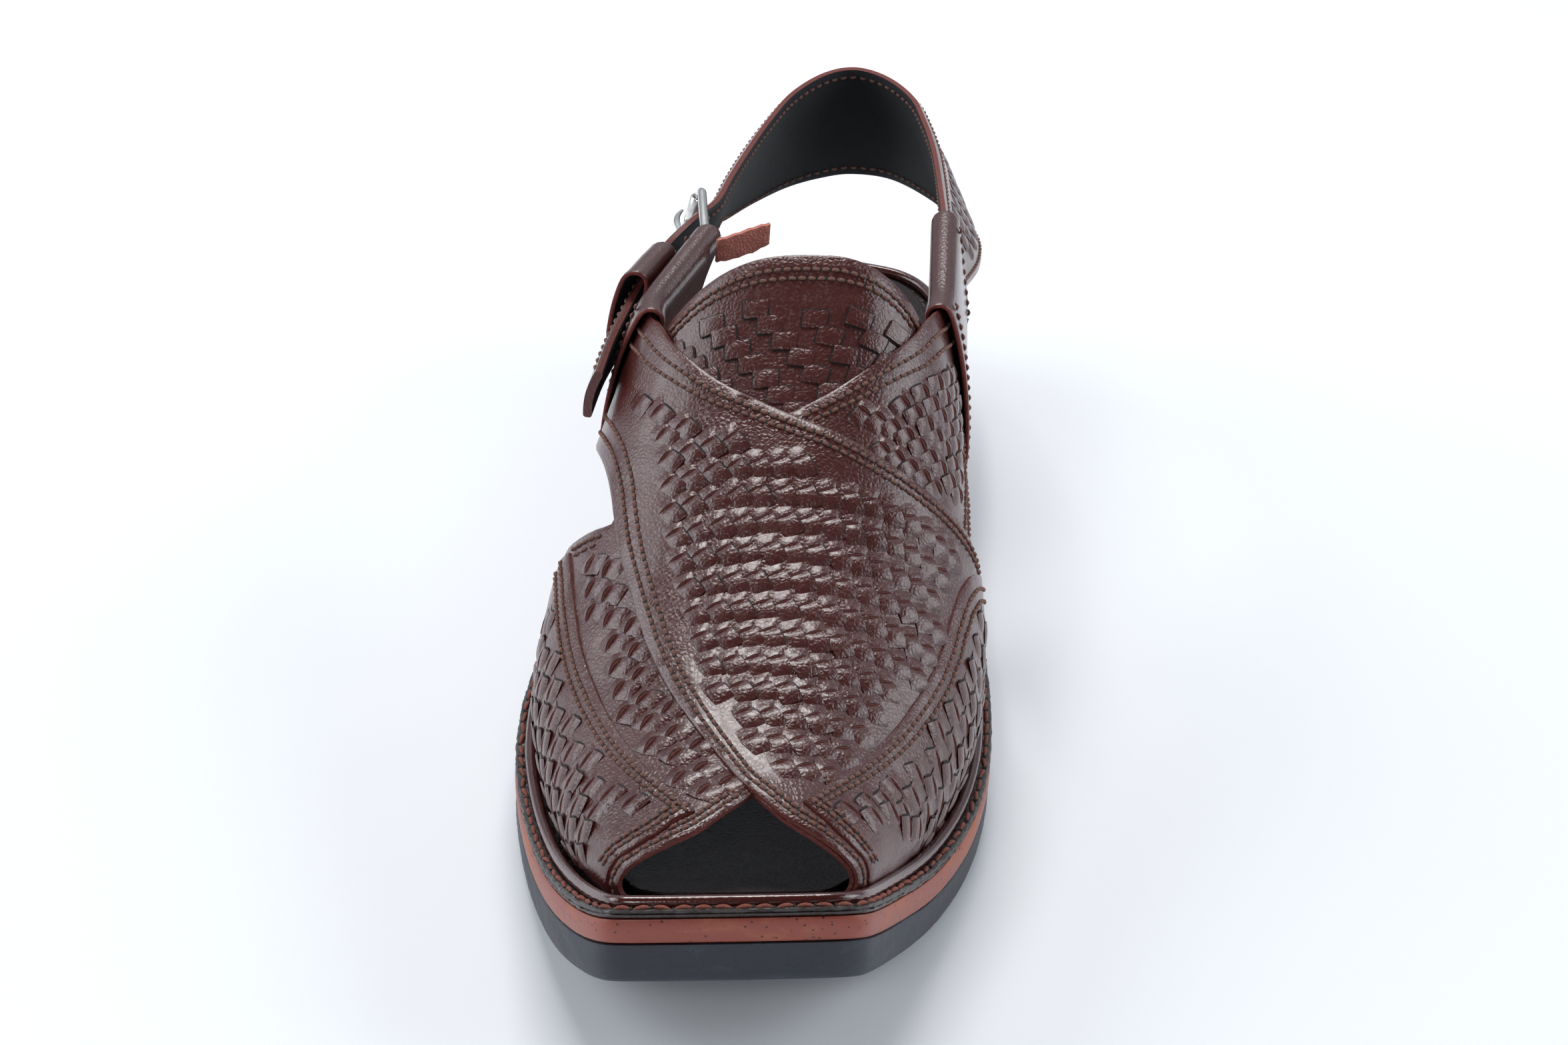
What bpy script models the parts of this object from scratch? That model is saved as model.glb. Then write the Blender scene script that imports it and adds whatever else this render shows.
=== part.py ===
"""Peshawari chappal: one shoe of two crossed woven straps on a black sole."""
import math

import bmesh
import bpy
from mathutils import Vector
from mathutils.geometry import delaunay_2d_cdt

for old in list(bpy.data.objects):
    bpy.data.objects.remove(old)


# shape of the last and the sole, in millimetres
# s runs from the heel (0) to the toe (300), a runs from -1 (left feather
# edge) over the ridge (0) to +1 (right feather edge)
LENGTH = 300.0
BALL = 108.0
INSTEP = 80.5
HEEL = 17.0
KX = BALL / 108.0
KL = LENGTH / 300.0
KI = INSTEP / 80.5
FEATHER = 10.2
CROWN = 1.0
BEAD_IN = 3.6
BEAD_R = 1.25


def curve(x, xs, ys):
    """Smooth monotone curve through the points xs, ys."""
    n = len(xs)
    if x <= xs[0]:
        return ys[0]
    if x >= xs[-1]:
        return ys[-1]
    i = 0
    while x > xs[i + 1]:
        i += 1

    def slope(j):
        return (ys[j + 1] - ys[j]) / (xs[j + 1] - xs[j])

    def tang(j):
        if j == 0:
            return slope(0)
        if j == n - 1:
            return slope(n - 2)
        a, b = slope(j - 1), slope(j)
        if a * b <= 0:
            return 0.0
        wa = 2 * (xs[j + 1] - xs[j]) + (xs[j] - xs[j - 1])
        wb = (xs[j + 1] - xs[j]) + 2 * (xs[j] - xs[j - 1])
        return (wa + wb) / (wa / a + wb / b)

    h = xs[i + 1] - xs[i]
    t = (x - xs[i]) / h
    m0, m1 = tang(i), tang(i + 1)
    return ((2 * t**3 - 3 * t * t + 1) * ys[i] + (t**3 - 2 * t * t + t) * h * m0
            + (-2 * t**3 + 3 * t * t) * ys[i + 1] + (t**3 - t * t) * h * m1)


S_L = [0, 3, 10, 25, 50, 80, 110, 145, 163, 188, 202, 218, 236, 266, 285, 296, 299, 300]
W_L = [0, 14, 24, 31.5, 36, 39, 42.5, 49.5, 54, 58, 59, 58, 54.5, 44.5, 35.5, 29, 26, 23]
S_R = [0, 3, 10, 25, 50, 80, 107, 121, 140, 164, 187, 203, 214, 229, 245, 262, 280, 294, 299, 300]
W_R = [0, 16, 26, 33, 36.5, 38, 38, 39, 41.8, 45.7, 48.8, 49.6, 49.2, 46.8, 42.6, 37.5, 31.5, 27, 24.5, 22]


def half(s, side):
    if side < 0:
        return curve(s, S_L, W_L) * KX
    return curve(s, S_R, W_R) * KX


def bottom(s):
    return 0.0 if s < 222 else 26.5 * ((s - 222) / 78.0)**2.1


def outsole_t(s):
    t = curve(s, [0, 40, 100, 150, 210, 250, 280, 300], [17, 16.5, 15, 13.6, 9.2, 9.6, 10.5, 10.5])
    return t + (HEEL - 17.0) * max(0.0, 1 - s / 210.0)


def ztop(s):
    return bottom(s) + outsole_t(s) + 9.0


def smooth(t):
    t = min(1.0, max(0.0, t))
    return t * t * (3 - 2 * t)


def warp(x, y):
    """Place a point of plan (x, 150 - s) in the shoe: skewed toe, length."""
    q = smooth((150.0 - y - 230.0) / 70.0)
    return x, (y + 0.15 * q * x) * KL


STATIONS = [0, 0.35, 1.4, 3.2, 5.8, 9.5, 14, 20, 28, 38, 50, 63, 77, 92, 107, 122, 137, 152, 166, 179,
            191, 202, 213, 223, 232, 241, 250, 259, 268, 276, 283, 289, 293.5, 296.5, 298.6, 300]


def half_outline(side, inset):
    """Plan points (x, s) from the heel centre to the toe centre on one side."""
    pts = [(side * half(s, side), s) for s in STATIONS]
    n = len(pts)
    keep = []
    for i, (x, s) in enumerate(pts):
        d = inset(s) if callable(inset) else inset
        front = 300.0 - CROWN - d
        if i == 0:
            nx, ns = 0.0, -1.0
        else:
            far = pts[i + 1] if i < n - 1 else (x, s + 1.0)
            ax, as_ = far[0] - pts[i - 1][0], far[1] - pts[i - 1][1]
            le = math.hypot(ax, as_)
            nx, ns = side * as_ / le, -side * ax / le
        p = (abs(x - nx * d), s - ns * d)
        if p[1] > front - 0.4:
            q = keep[-1]
            u = (front - q[1]) / max(1e-6, p[1] - q[1])
            keep.append((q[0] + (p[0] - q[0]) * u, front))
            break
        keep.append(p)
    else:
        keep.append((p[0] - 0.5, front))
    # the toe's edge: a shallow crown from the corner to the centre line
    x_end = keep[-1][0]
    rest = n + 4 - len(keep)
    for j in range(1, rest + 1):
        k = 1.0 - j / rest
        keep.append((x_end * k, front + CROWN * (1.0 - k * k)))
    return [(side * x, s) for x, s in keep]


FL = half_outline(-1, FEATHER)
FR = half_outline(1, FEATHER)


def feather(s, side):
    """Half width of the feather line at station s."""
    pts = FL if side < 0 else FR
    best = 0.0
    for (x0, s0), (x1, s1) in zip(pts, pts[1:]):
        if s1 - s0 > 1e-6 and s0 <= s <= s1:
            t = (s - s0) / (s1 - s0)
            best = max(best, abs(x0 + (x1 - x0) * t))
    return best


S_MAX = max(p[1] for p in FL + FR) - 0.05


def ridge_z(s):
    z = curve(s, [100, 120, 145, 160, 176, 187, 200, 213, 230, 252, 264, 275, 285, 300],
              [146, 128, 110, 97.5, 86.5, 80.5, 73.5, 67.5, 61, 55, 53, 52, 51.5, 51.5])
    return 26.0 + (z - 26.0) * KI


def ridge_x(s):
    return curve(s, [120, 176, 210, 250, 300], [0, 0, -3.5, -3.5, -1])


def power(s):
    return curve(s, [120, 147, 176, 210, 250, 300], [3.0, 2.9, 2.6, 2.3, 2.3, 2.6])


def swell(s):
    return curve(s, [120, 145, 165, 185, 255, 285, 300], [5.5, 5.0, 5.0, 5.2, 4.5, 3.0, 2.0])


def last0(s, a):
    """A point of the last's surface."""
    side = -1 if a < 0 else 1
    ss = min(s, S_MAX)
    x0 = ridge_x(s)
    w = feather(ss, side) - side * x0
    zf = ztop(s) + 0.3
    h = ridge_z(s) - zf
    n = power(s)
    th = abs(a) * math.pi / 2
    c, sn = max(math.cos(th), 0.0), math.sin(th)
    r = (sn**n + c**n)**(-1.0 / n)
    t = min(1.0, max(c * r, 0.0))
    b = swell(s) * math.sin(math.pi * t**0.8)
    x = x0 + side * (w * sn * r + b)
    x, y = warp(x, 150.0 - s)
    return (x, y, zf + h * c * r)


def last_normal(s, a):
    e, d = 0.6, 0.012
    p0, p1 = last0(s, max(a - d, -1)), last0(s, min(a + d, 1))
    q0, q1 = last0(max(s - e, 101), a), last0(min(s + e, S_MAX), a)
    u = [p1[i] - p0[i] for i in range(3)]
    v = [q1[i] - q0[i] for i in range(3)]
    n = [v[1] * u[2] - v[2] * u[1], v[2] * u[0] - v[0] * u[2], v[0] * u[1] - v[1] * u[0]]
    le = math.sqrt(sum(c * c for c in n)) or 1.0
    n = [c / le for c in n]
    out = n[2] * math.cos(a * math.pi / 2) + n[0] * math.sin(a * math.pi / 2)
    return n if out > 0 else [-c for c in n]


def last(s, a, off=0.0):
    p, n = last0(s, a), last_normal(s, a)
    return (p[0] + n[0] * off, p[1] + n[1] * off, p[2] + n[2] * off)


# straps and bands: outlines in (a, s) on the last
TOP_UP = [(-0.545, 141.5), (-0.515, 146), (-0.47, 151), (-0.393, 159.6), (-0.248, 170.2), (-0.129, 174.8),
          (-0.03, 177.6), (0.06, 179.4), (0.134, 180.3), (0.266, 182.4), (0.392, 183.2), (0.486, 182.4),
          (0.58, 180.6), (0.68, 178.2), (0.80, 174.5), (0.90, 171), (1.0, 168)]
TOP_LOW = [(-0.80, 141.5), (-0.76, 150), (-0.69, 159), (-0.60, 169), (-0.53, 179), (-0.488, 188),
           (-0.464, 194.2), (-0.432, 202.4), (-0.37, 218.6), (-0.308, 236.5), (-0.195, 253),
           (-0.024, 268.4), (0.06, 272.3), (0.15, 276.3), (0.263, 280.5), (0.5, 285), (0.7, 287), (1.0, 288)]
UNDER_UP = [(0.565, 132), (0.535, 137.5), (0.48, 145), (0.411, 153.7), (0.269, 164.2), (0.131, 171.8), (0.0, 176.6)]
WING_LOW = [(0.81, 132), (0.80, 141), (0.775, 150), (0.75, 160), (0.725, 170), (0.70, 177.6)]
UNDER_REAR = [(-0.504, 193.2), (-0.622, 188.8), (-0.72, 184), (-0.85, 176.5), (-1.0, 168)]
TOE_L = [(-1.0, 288), (-0.7, 287.5), (-0.5, 287), (-0.239, 284), (-0.1, 279), (0.0, 275)]
BAND_L = [(-0.64, 190.8), (-0.577, 206), (-0.528, 228.1), (-0.456, 248.6), (-0.357, 264.3), (-0.212, 277.6),
          (-0.45, 283.4), (-0.7, 284.2), (-1.12, 284.5), (-1.12, 171), (-1.0, 172.6), (-0.85, 180.5), (-0.74, 186)]
BAND_R = [(0.72, 181.5), (0.64, 189), (0.585, 199.6), (0.57, 212.2), (0.538, 227.3), (0.491, 245), (0.412, 261),
          (0.292, 274.5), (0.5, 281.2), (0.7, 283), (1.12, 284), (1.12, 169), (1.0, 172.5), (0.83, 178.8)]
TONGUE = [(-0.585, 155), (-0.52, 151.5), (-0.42, 149), (-0.3, 147.3), (-0.15, 146), (0, 145.4), (0.15, 145),
          (0.3, 144.8), (0.42, 144.8), (0.52, 145.8), (0.585, 149), (0.60, 157), (0.575, 166), (0.52, 180),
          (0.42, 193), (0.3, 200), (0.0, 203), (-0.3, 200), (-0.42, 193), (-0.52, 180), (-0.575, 168), (-0.60, 161)]
AX = 58.0

T_UNDER, T_TOP, T_BAND = 1.5, 2.5, 3.0


def dom(pts):
    return [(a * AX, s) for a, s in pts]


def inside(p, poly):
    x, y = p
    hit = False
    j = len(poly) - 1
    for i in range(len(poly)):
        xi, yi = poly[i]
        xj, yj = poly[j]
        if (yi > y) != (yj > y) and x < (xj - xi) * (y - yi) / (yj - yi) + xi:
            hit = not hit
        j = i
    return hit


def seg_dist(p, a, b):
    dx, dy = b[0] - a[0], b[1] - a[1]
    le = dx * dx + dy * dy
    t = 0.0 if le == 0 else min(1.0, max(0.0, ((p[0] - a[0]) * dx + (p[1] - a[1]) * dy) / le))
    return math.hypot(p[0] - a[0] - t * dx, p[1] - a[1] - t * dy)


def line_dist(p, line, closed=True):
    n = len(line)
    last_i = n if closed else n - 1
    return min(seg_dist(p, line[i], line[(i + 1) % n]) for i in range(last_i))


def signed(p, poly):
    d = line_dist(p, poly)
    return d if inside(p, poly) else -d


def resample(line, step, closed=False):
    pts = list(line) + ([line[0]] if closed else [])
    out = []
    for (x0, y0), (x1, y1) in zip(pts, pts[1:]):
        n = max(1, int(math.ceil(math.hypot(x1 - x0, y1 - y0) / step - 0.05)))
        for k in range(n):
            out.append((x0 + (x1 - x0) * k / n, y0 + (y1 - y0) * k / n))
    if not closed:
        out.append(pts[-1])
    return out


def rounded(line, times=2, closed=False):
    """Corner-cutting that keeps the ends and sharp corners in place."""
    for _ in range(times):
        out = [line[0]]
        for i in range(1, len(line) - 1):
            p, q, r = line[i - 1], line[i], line[i + 1]
            v1 = (q[0] - p[0], q[1] - p[1])
            v2 = (r[0] - q[0], r[1] - q[1])
            l1, l2 = math.hypot(*v1), math.hypot(*v2)
            if l1 < 1e-6 or l2 < 1e-6:
                continue
            cosv = (v1[0] * v2[0] + v1[1] * v2[1]) / (l1 * l2)
            if cosv < 0.6:
                out.append(q)
                continue
            k = 0.25
            out.append((q[0] - v1[0] * k, q[1] - v1[1] * k))
            out.append((q[0] + v2[0] * k, q[1] + v2[1] * k))
        out.append(line[-1])
        line = out
    return line


UNION = (dom([(-1.0, 168)]) + resample(dom([(-1.0, 168), (-1.0, 288)]), 4)[1:-1]
         + rounded(dom(TOE_L)) + rounded(dom(TOP_LOW[12:]))[0:]
         + resample(dom([(1.0, 288), (1.0, 168)]), 4)[1:]
         + rounded(dom([(1.0, 168), (0.90, 171), (0.80, 174.5), (0.70, 177.6)]))[1:-1]
         + rounded(dom(WING_LOW[::-1])) + rounded(dom(UNDER_UP)) + rounded(dom(TOP_UP[:7]))[::-1]
         + rounded(dom(TOP_LOW[:7])) + rounded(dom(UNDER_REAR))[:-1])
UNION = resample(UNION, 3.6, True)
P_TOP = dom(TOP_UP) + dom([(1.12, 168), (1.12, 288)]) + dom(TOP_LOW[::-1])
P_TOP = [(x, s) for x, s in P_TOP]
P_BL = dom(BAND_L)
P_BR = dom(BAND_R)
RAMP = 0.55


def ramp(d):
    return min(1.0, max(0.0, 1.0 + d / RAMP))


def plain_level(p):
    """Thickness of the wall at a point of the domain, without weave."""
    t = T_UNDER + (T_TOP - T_UNDER) * ramp(signed(p, P_TOP))
    t += 0.8 * ramp(signed(p, P_BL))
    t += (T_BAND - T_TOP) * ramp(signed(p, P_BR))
    return t


# weave: cells of two sets of strips crossing at right angles
# each field: outline it stays inside of, margin, direction of rows, pitches
def cells(poly, margin, angle, pu, pv, keep, origin):
    ca, sa = math.cos(math.radians(angle)), math.sin(math.radians(angle))
    out = []
    for i in range(-40, 41):
        for j in range(-40, 41):
            u, v = (i + 0.5) * pu, (j + 0.5) * pv
            x = origin[0] + ca * u - sa * v
            y = origin[1] + sa * u + ca * v
            if not inside((x, y), poly) or line_dist((x, y), poly) < margin:
                continue
            if not keep((x, y)):
                continue
            quad = []
            for du, dv in ((-1, -1), (1, -1), (1, 1), (-1, 1)):
                uu, vv = u + du * pu * 0.36, v + dv * pv * 0.40
                quad.append((origin[0] + ca * uu - sa * vv, origin[1] + sa * uu + ca * vv))
            out.append(((x, y), quad, (i + j) % 2 == 0))
    return out


def over_top(p):
    return signed(p, P_TOP) > -1.0


def top_free(p):
    return (signed(p, P_BR) < -6.0 and abs(p[0]) < 0.93 * AX
            and line_dist(p, UNION) > 7.5 and line_dist(p, dom(TOP_UP), False) > 8.0
            and line_dist(p, dom(TOP_LOW), False) > 7.5)


def under_free(p):
    return (not over_top(p) and signed(p, P_TOP) < -4.0 and signed(p, P_BL) < -5.0
            and line_dist(p, UNION) > 6.5)


def band_free_l(p):
    return signed(p, P_BL) > 5.5 and abs(p[0]) < 0.935 * AX


def band_free_r(p):
    return signed(p, P_BR) > 5.5 and abs(p[0]) < 0.935 * AX


WOVEN = (cells(UNION, 4.0, -24.0, 5.6, 6.6, top_free, (0.0, 225.0))
         + cells(UNION, 4.0, 24.0, 5.6, 6.6, under_free, (0.0, 225.0))
         + cells(P_BL, 4.0, 0.0, 6.0, 7.4, band_free_l, (-0.99 * AX, 230.0))
         + cells(P_BR, 4.0, 0.0, 6.0, 7.4, band_free_r, (0.99 * AX, 230.0)))


def solid(name, verts, faces, material):
    """One closed body from points in millimetres."""
    mesh = bpy.data.meshes.new(name)
    mesh.from_pydata([(x * 0.001, y * 0.001, z * 0.001) for x, y, z in verts], [], faces)
    mesh.update()
    bm = bmesh.new()
    bm.from_mesh(mesh)
    bmesh.ops.remove_doubles(bm, verts=bm.verts, dist=2e-6)
    bmesh.ops.dissolve_degenerate(bm, dist=1e-6, edges=bm.edges)
    bmesh.ops.triangulate(bm, faces=bm.faces)
    bmesh.ops.recalc_face_normals(bm, faces=bm.faces)
    if bm.calc_volume(signed=True) < 0:
        bmesh.ops.reverse_faces(bm, faces=bm.faces)
    bm.to_mesh(mesh)
    bm.free()
    mesh.materials.append(material)
    ob = bpy.data.objects.new(name, mesh)
    bpy.context.collection.objects.link(ob)
    return ob


def grid_faces(rows, cols, wrap_rows=False, wrap_cols=False, start=0, flip=False):
    out = []
    for i in range(rows if wrap_rows else rows - 1):
        for j in range(cols if wrap_cols else cols - 1):
            a = start + i * cols + j
            b = start + i * cols + (j + 1) % cols
            c = start + ((i + 1) % rows) * cols + (j + 1) % cols
            d = start + ((i + 1) % rows) * cols + j
            out.append((a, d, c, b) if flip else (a, b, c, d))
    return out


def layer(name, rings, material):
    """A sole layer; rings are (inset, height function) from below to above."""
    verts, faces = [], []
    loops = []
    for inset, height in rings:
        left, right = half_outline(-1, inset), half_outline(1, inset)
        loop = []
        ids_l, ids_r = [], []
        for side, pts, ids in ((-1, left, ids_l), (1, right, ids_r)):
            for x, s in pts:
                ids.append(len(verts))
                px, py = warp(x, 150.0 - s)
                verts.append((px, py, height(min(300.0, max(0.0, s)))))
        loop = ids_l + ids_r[::-1][1:-1]
        loops.append((loop, ids_l, ids_r))
    for (la, _, _), (lb, _, _) in zip(loops, loops[1:]):
        n = len(la)
        for i in range(n):
            faces.append((la[i], la[(i + 1) % n], lb[(i + 1) % n], lb[i]))
    for k, (loop, il, ir) in ((0, loops[0]), (1, loops[-1])):
        n = len(il)
        for i in range(n - 1):
            f = [il[i], il[i + 1], ir[i + 1], ir[i]]
            if i == 0:
                f = [il[0], il[1], ir[1]]
            if i == n - 2:
                f = [il[i], il[i + 1], ir[i]]
            faces.append(tuple(f) if k else tuple(f[::-1]))
    return solid(name, verts, faces, material)


def patch(name, outline, lines, points, outer, inner, inner_step, place, material):
    """A wall over an outline of the domain: outer face, inner face, edge."""
    n = len(outline)

    def mesh2d(pts, cons):
        vs = [Vector(p) for p in outline] + [Vector(p) for p in pts]
        es = [(i, (i + 1) % n) for i in range(n)] + [(a + n, b + n) for a, b in cons]
        res = delaunay_2d_cdt(vs, es, [list(range(n))], 0, 1e-5)
        ov, of = res[0], res[2]
        tri = []
        for f in of:
            cx = sum(ov[i][0] for i in f) / len(f)
            cy = sum(ov[i][1] for i in f) / len(f)
            if inside((cx, cy), outline):
                tri.append(tuple(f))
        # first n points of the result are the outline unless points merged
        return [(v[0], v[1]) for v in ov], tri

    pts, cons = [], []
    for line in lines:
        base = len(pts)
        pts += line
        cons += [(base + i, base + i + 1) for i in range(len(line) - 1)]
    pts += points
    ov, of = mesh2d(pts, cons)
    xs = [p[0] for p in outline]
    ys = [p[1] for p in outline]
    grid = []
    y = min(ys) + inner_step * 0.5
    k = 0
    while y < max(ys):
        x = min(xs) + (inner_step * 0.5 if k % 2 else 0.0)
        while x < max(xs):
            if inside((x, y), outline) and line_dist((x, y), outline) > inner_step * 0.45:
                grid.append((x, y))
            x += inner_step
        y += inner_step * 0.87
        k += 1
    iv, if_ = mesh2d(grid, [])
    verts = [place(p, outer(p)) for p in ov] + [place(p, inner(p)) for p in iv]
    m = len(ov)
    faces = list(of) + [tuple(i + m for i in f[::-1]) for f in if_]

    def border(tris):
        seen = {}
        for f in tris:
            for i in range(len(f)):
                e = (f[i], f[(i + 1) % len(f)])
                if (e[1], e[0]) in seen:
                    del seen[(e[1], e[0])]
                else:
                    seen[e] = True
        return seen
    key_i = {}
    for e in border(if_):
        key_i[(round(iv[e[0]][0], 4), round(iv[e[0]][1], 4), round(iv[e[1]][0], 4), round(iv[e[1]][1], 4))] = e
    for e in border(of):
        k4 = (round(ov[e[0]][0], 4), round(ov[e[0]][1], 4), round(ov[e[1]][0], 4), round(ov[e[1]][1], 4))
        g = key_i.get(k4)
        if g is not None:
            faces.append((e[1], e[0], g[0] + m, g[1] + m))
    return solid(name, verts, faces, material)


def spread(outline, step, avoid, gap):
    """Loose points that fill an outline where nothing else stands."""
    out = []
    xs = [p[0] for p in outline]
    ys = [p[1] for p in outline]
    cell = {}
    for p in avoid:
        cell.setdefault((int(p[0] // gap), int(p[1] // gap)), []).append(p)
    y = min(ys)
    k = 0
    while y < max(ys):
        x = min(xs) + (step * 0.5 if k % 2 else 0.0)
        while x < max(xs):
            p = (x, y)
            if inside(p, outline):
                cx, cy = int(x // gap), int(y // gap)
                near = False
                for i in (-1, 0, 1):
                    for j in (-1, 0, 1):
                        for q in cell.get((cx + i, cy + j), []):
                            if math.hypot(q[0] - x, q[1] - y) < gap:
                                near = True
                if not near:
                    out.append(p)
            x += step
        y += step * 0.87
        k += 1
    return out


def shifted(line, d):
    """The same line moved sideways by d (to its left when d > 0)."""
    out = []
    for i, (x, y) in enumerate(line):
        p, q = line[max(0, i - 1)], line[min(len(line) - 1, i + 1)]
        dx, dy = q[0] - p[0], q[1] - p[1]
        le = math.hypot(dx, dy) or 1.0
        out.append((x - dy / le * d, y + dx / le * d))
    return out


def floor_of(x, y):
    """Top of the welt under a point of the shoe."""
    s = 150.0 - y
    for _ in range(4):
        s += warp(x, 150.0 - s)[1] - y
    return ztop(min(300.0, max(0.0, s)))


def place_last(p, off):
    x, y, z = last(p[1], max(-1.0, min(1.0, p[0] / AX)), off)
    return x, y, max(z, floor_of(x, y) + 0.32)


def material(name, colour, rough, metal=0.0):
    m = bpy.data.materials.new(name)
    m.use_nodes = True
    b = m.node_tree.nodes["Principled BSDF"]
    b.inputs["Base Color"].default_value = (*colour, 1)
    b.inputs["Roughness"].default_value = rough
    b.inputs["Metallic"].default_value = metal
    m.diffuse_color = (*colour, 1)
    return m


LEATHER = material("leather_brown", (0.105, 0.028, 0.022), 0.35)
BLACK = material("leather_black", (0.012, 0.013, 0.016), 0.35)
BRICK = material("midsole_brick", (0.42, 0.09, 0.035), 0.5)
RUBBER = material("rubber_black", (0.02, 0.022, 0.026), 0.6)
SUEDE = material("suede_raw", (0.62, 0.25, 0.19), 0.85)
STEEL = material("nickel_plate", (0.75, 0.74, 0.70), 0.2, 1.0)


def build_soles():
    layer("outsole", [(2.0, bottom), (0.5, lambda s: bottom(s) + 1.8), (0.0, lambda s: bottom(s) + 4.0),
                      (0.0, lambda s: bottom(s) + outsole_t(s) - 1.0),
                      (0.3, lambda s: bottom(s) + outsole_t(s) - 0.15)], RUBBER)
    z0 = lambda s: bottom(s) + outsole_t(s)
    layer("midsole", [(0.5, lambda s: z0(s) + 0.15), (0.1, lambda s: z0(s) + 1.0),
                      (0.1, lambda s: z0(s) + 5.6), (0.6, lambda s: z0(s) + 6.45)], BRICK)
    layer("welt", [(0.3, lambda s: z0(s) + 6.7), (0.0, lambda s: z0(s) + 7.3), (0.0, lambda s: z0(s) + 8.4),
                   (0.6, lambda s: z0(s) + 9.0)], BLACK)

    def insole_in(s):
        return 7.8 + 4.4 * smooth((s - 152) / 14.0)
    layer("insole", [(lambda s: insole_in(s), lambda s: ztop(s) + 0.3),
                     (lambda s: insole_in(s) + 0.1, lambda s: ztop(s) + 1.6),
                     (lambda s: insole_in(s) + 0.9, lambda s: ztop(s) + 2.1)], BLACK)


def build_bead():
    left, right = half_outline(-1, BEAD_IN), half_outline(1, BEAD_IN)
    loop = left + right[::-1][1:-1]
    pts = []
    for x, s in loop:
        px, py = warp(x, 150.0 - s)
        pts.append((px, py, ztop(min(300.0, max(0.0, s))) + 0.3 + BEAD_R))
    n, k = len(pts), 7
    verts = []
    for i in range(n):
        p, q = pts[i - 1], pts[(i + 1) % n]
        t = Vector((q[0] - p[0], q[1] - p[1], q[2] - p[2])).normalized()
        side = t.cross(Vector((0, 0, 1))).normalized()
        up = side.cross(t)
        for j in range(k):
            an = 2 * math.pi * j / k
            c = Vector(pts[i]) + side * math.cos(an) * BEAD_R + up * math.sin(an) * BEAD_R
            verts.append(tuple(c))
    solid("rand_bead", verts, grid_faces(n, k, True, True), LEATHER)


def build_upper():
    lines = []
    step_lines = [rounded(dom(TOP_UP[6:15])), rounded(dom(TOP_LOW[6:13])),
                  rounded(dom(BAND_L[:6])), rounded(dom(BAND_L[5:8])), dom([(-1, 172.6), (-0.85, 180.5), (-0.74, 186), (-0.64, 190.8)]),
                  rounded(dom(BAND_R[:8])), rounded(dom(BAND_R[7:10])), dom([(1.0, 172.5), (0.83, 178.8), (0.72, 181.5)])]
    polys = [P_TOP, P_TOP, P_BL, P_BL, P_BL, P_BR, P_BR, P_BR]
    fixed = list(UNION)
    for line, poly in zip(step_lines, polys):
        line = resample(line, 3.2)
        for d in (0.0, RAMP):
            sides = [shifted(line, d), shifted(line, -d)]
            best = min(sides, key=lambda c: sum(signed(q, poly) for q in c[2:-2:3]))
            run = []
            for p in best:
                ok = inside(p, UNION) and line_dist(p, UNION) > 0.9 and abs(p[0]) < AX * 0.985
                if ok:
                    ok = all(math.hypot(p[0] - q[0], p[1] - q[1]) > 0.4 for q in fixed)
                if ok:
                    run.append(p)
                elif len(run) > 1:
                    lines.append(run)
                    fixed += run
                    run = []
                else:
                    run = []
            if len(run) > 1:
                lines.append(run)
                fixed += run
    points, raised = [], {}
    for (x, y), quad, up in WOVEN:
        if up:
            for q in quad:
                points.append(q)
                raised[(round(q[0], 3), round(q[1], 3))] = 0.45
        else:
            points.append((x, y))
            raised[(round(x, 3), round(y, 3))] = -0.05
    far = spread(UNION, 5.0, fixed + points, 3.2)
    points += far

    def outer(p):
        return plain_level(p) + raised.get((round(p[0], 3), round(p[1], 3)), 0.0)

    return patch("upper", UNION, lines, points, outer, lambda p: 0.0, 6.5, place_last, LEATHER)


def build_tongue():
    outline = rounded(dom(TONGUE) + dom(TONGUE[:1]), 2)[:-1]
    outline = resample(outline, 4.0, True)
    pts, raised = [], {}

    def free(p):
        return abs(p[0]) / AX < 0.36 and 152 < p[1] < 181 and abs(p[0]) < 6 + 1.35 * (p[1] - 150)
    for (x, y), quad, up in cells(outline, 5.0, 0.0, 5.8, 5.2, free, (0.0, 160.0)):
        if up:
            for q in quad:
                pts.append(q)
                raised[(round(q[0], 3), round(q[1], 3))] = 0.5
        else:
            pts.append((x, y))
    pts += spread(outline, 6.0, pts + outline, 3.4)
    cover = UNION

    def outer(p):
        r = raised.get((round(p[0], 3), round(p[1], 3)), 0.0)
        bare = not inside(p, cover) and line_dist(p, cover) > 1.0
        return -0.35 + r if bare else -0.8
    return patch("tongue", outline, [], pts, outer, lambda p: -2.2, 6.0, place_last, LEATHER)


def a_of_z(s, side, z):
    lo, hi = 0.0, 1.0
    for _ in range(40):
        m = (lo + hi) / 2
        if last0(s, side * m)[2] > z:
            lo = m
        else:
            hi = m
    return side * (lo + hi) / 2


SLEEVES = {
    -1: dict(s_f=146.0, top=88.6, low=53.0, off=1.55, rear_top=(-26.9, 42.0, 91.6), rear_low=(-32.0, 42.0, 74.0)),
    1: dict(s_f=137.5, top=90.6, low=50.0, off=0.75, rear_top=(29.8, 49.0, 96.0), rear_low=(33.4, 49.0, 75.4)),
}
WALL = 1.25


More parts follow.
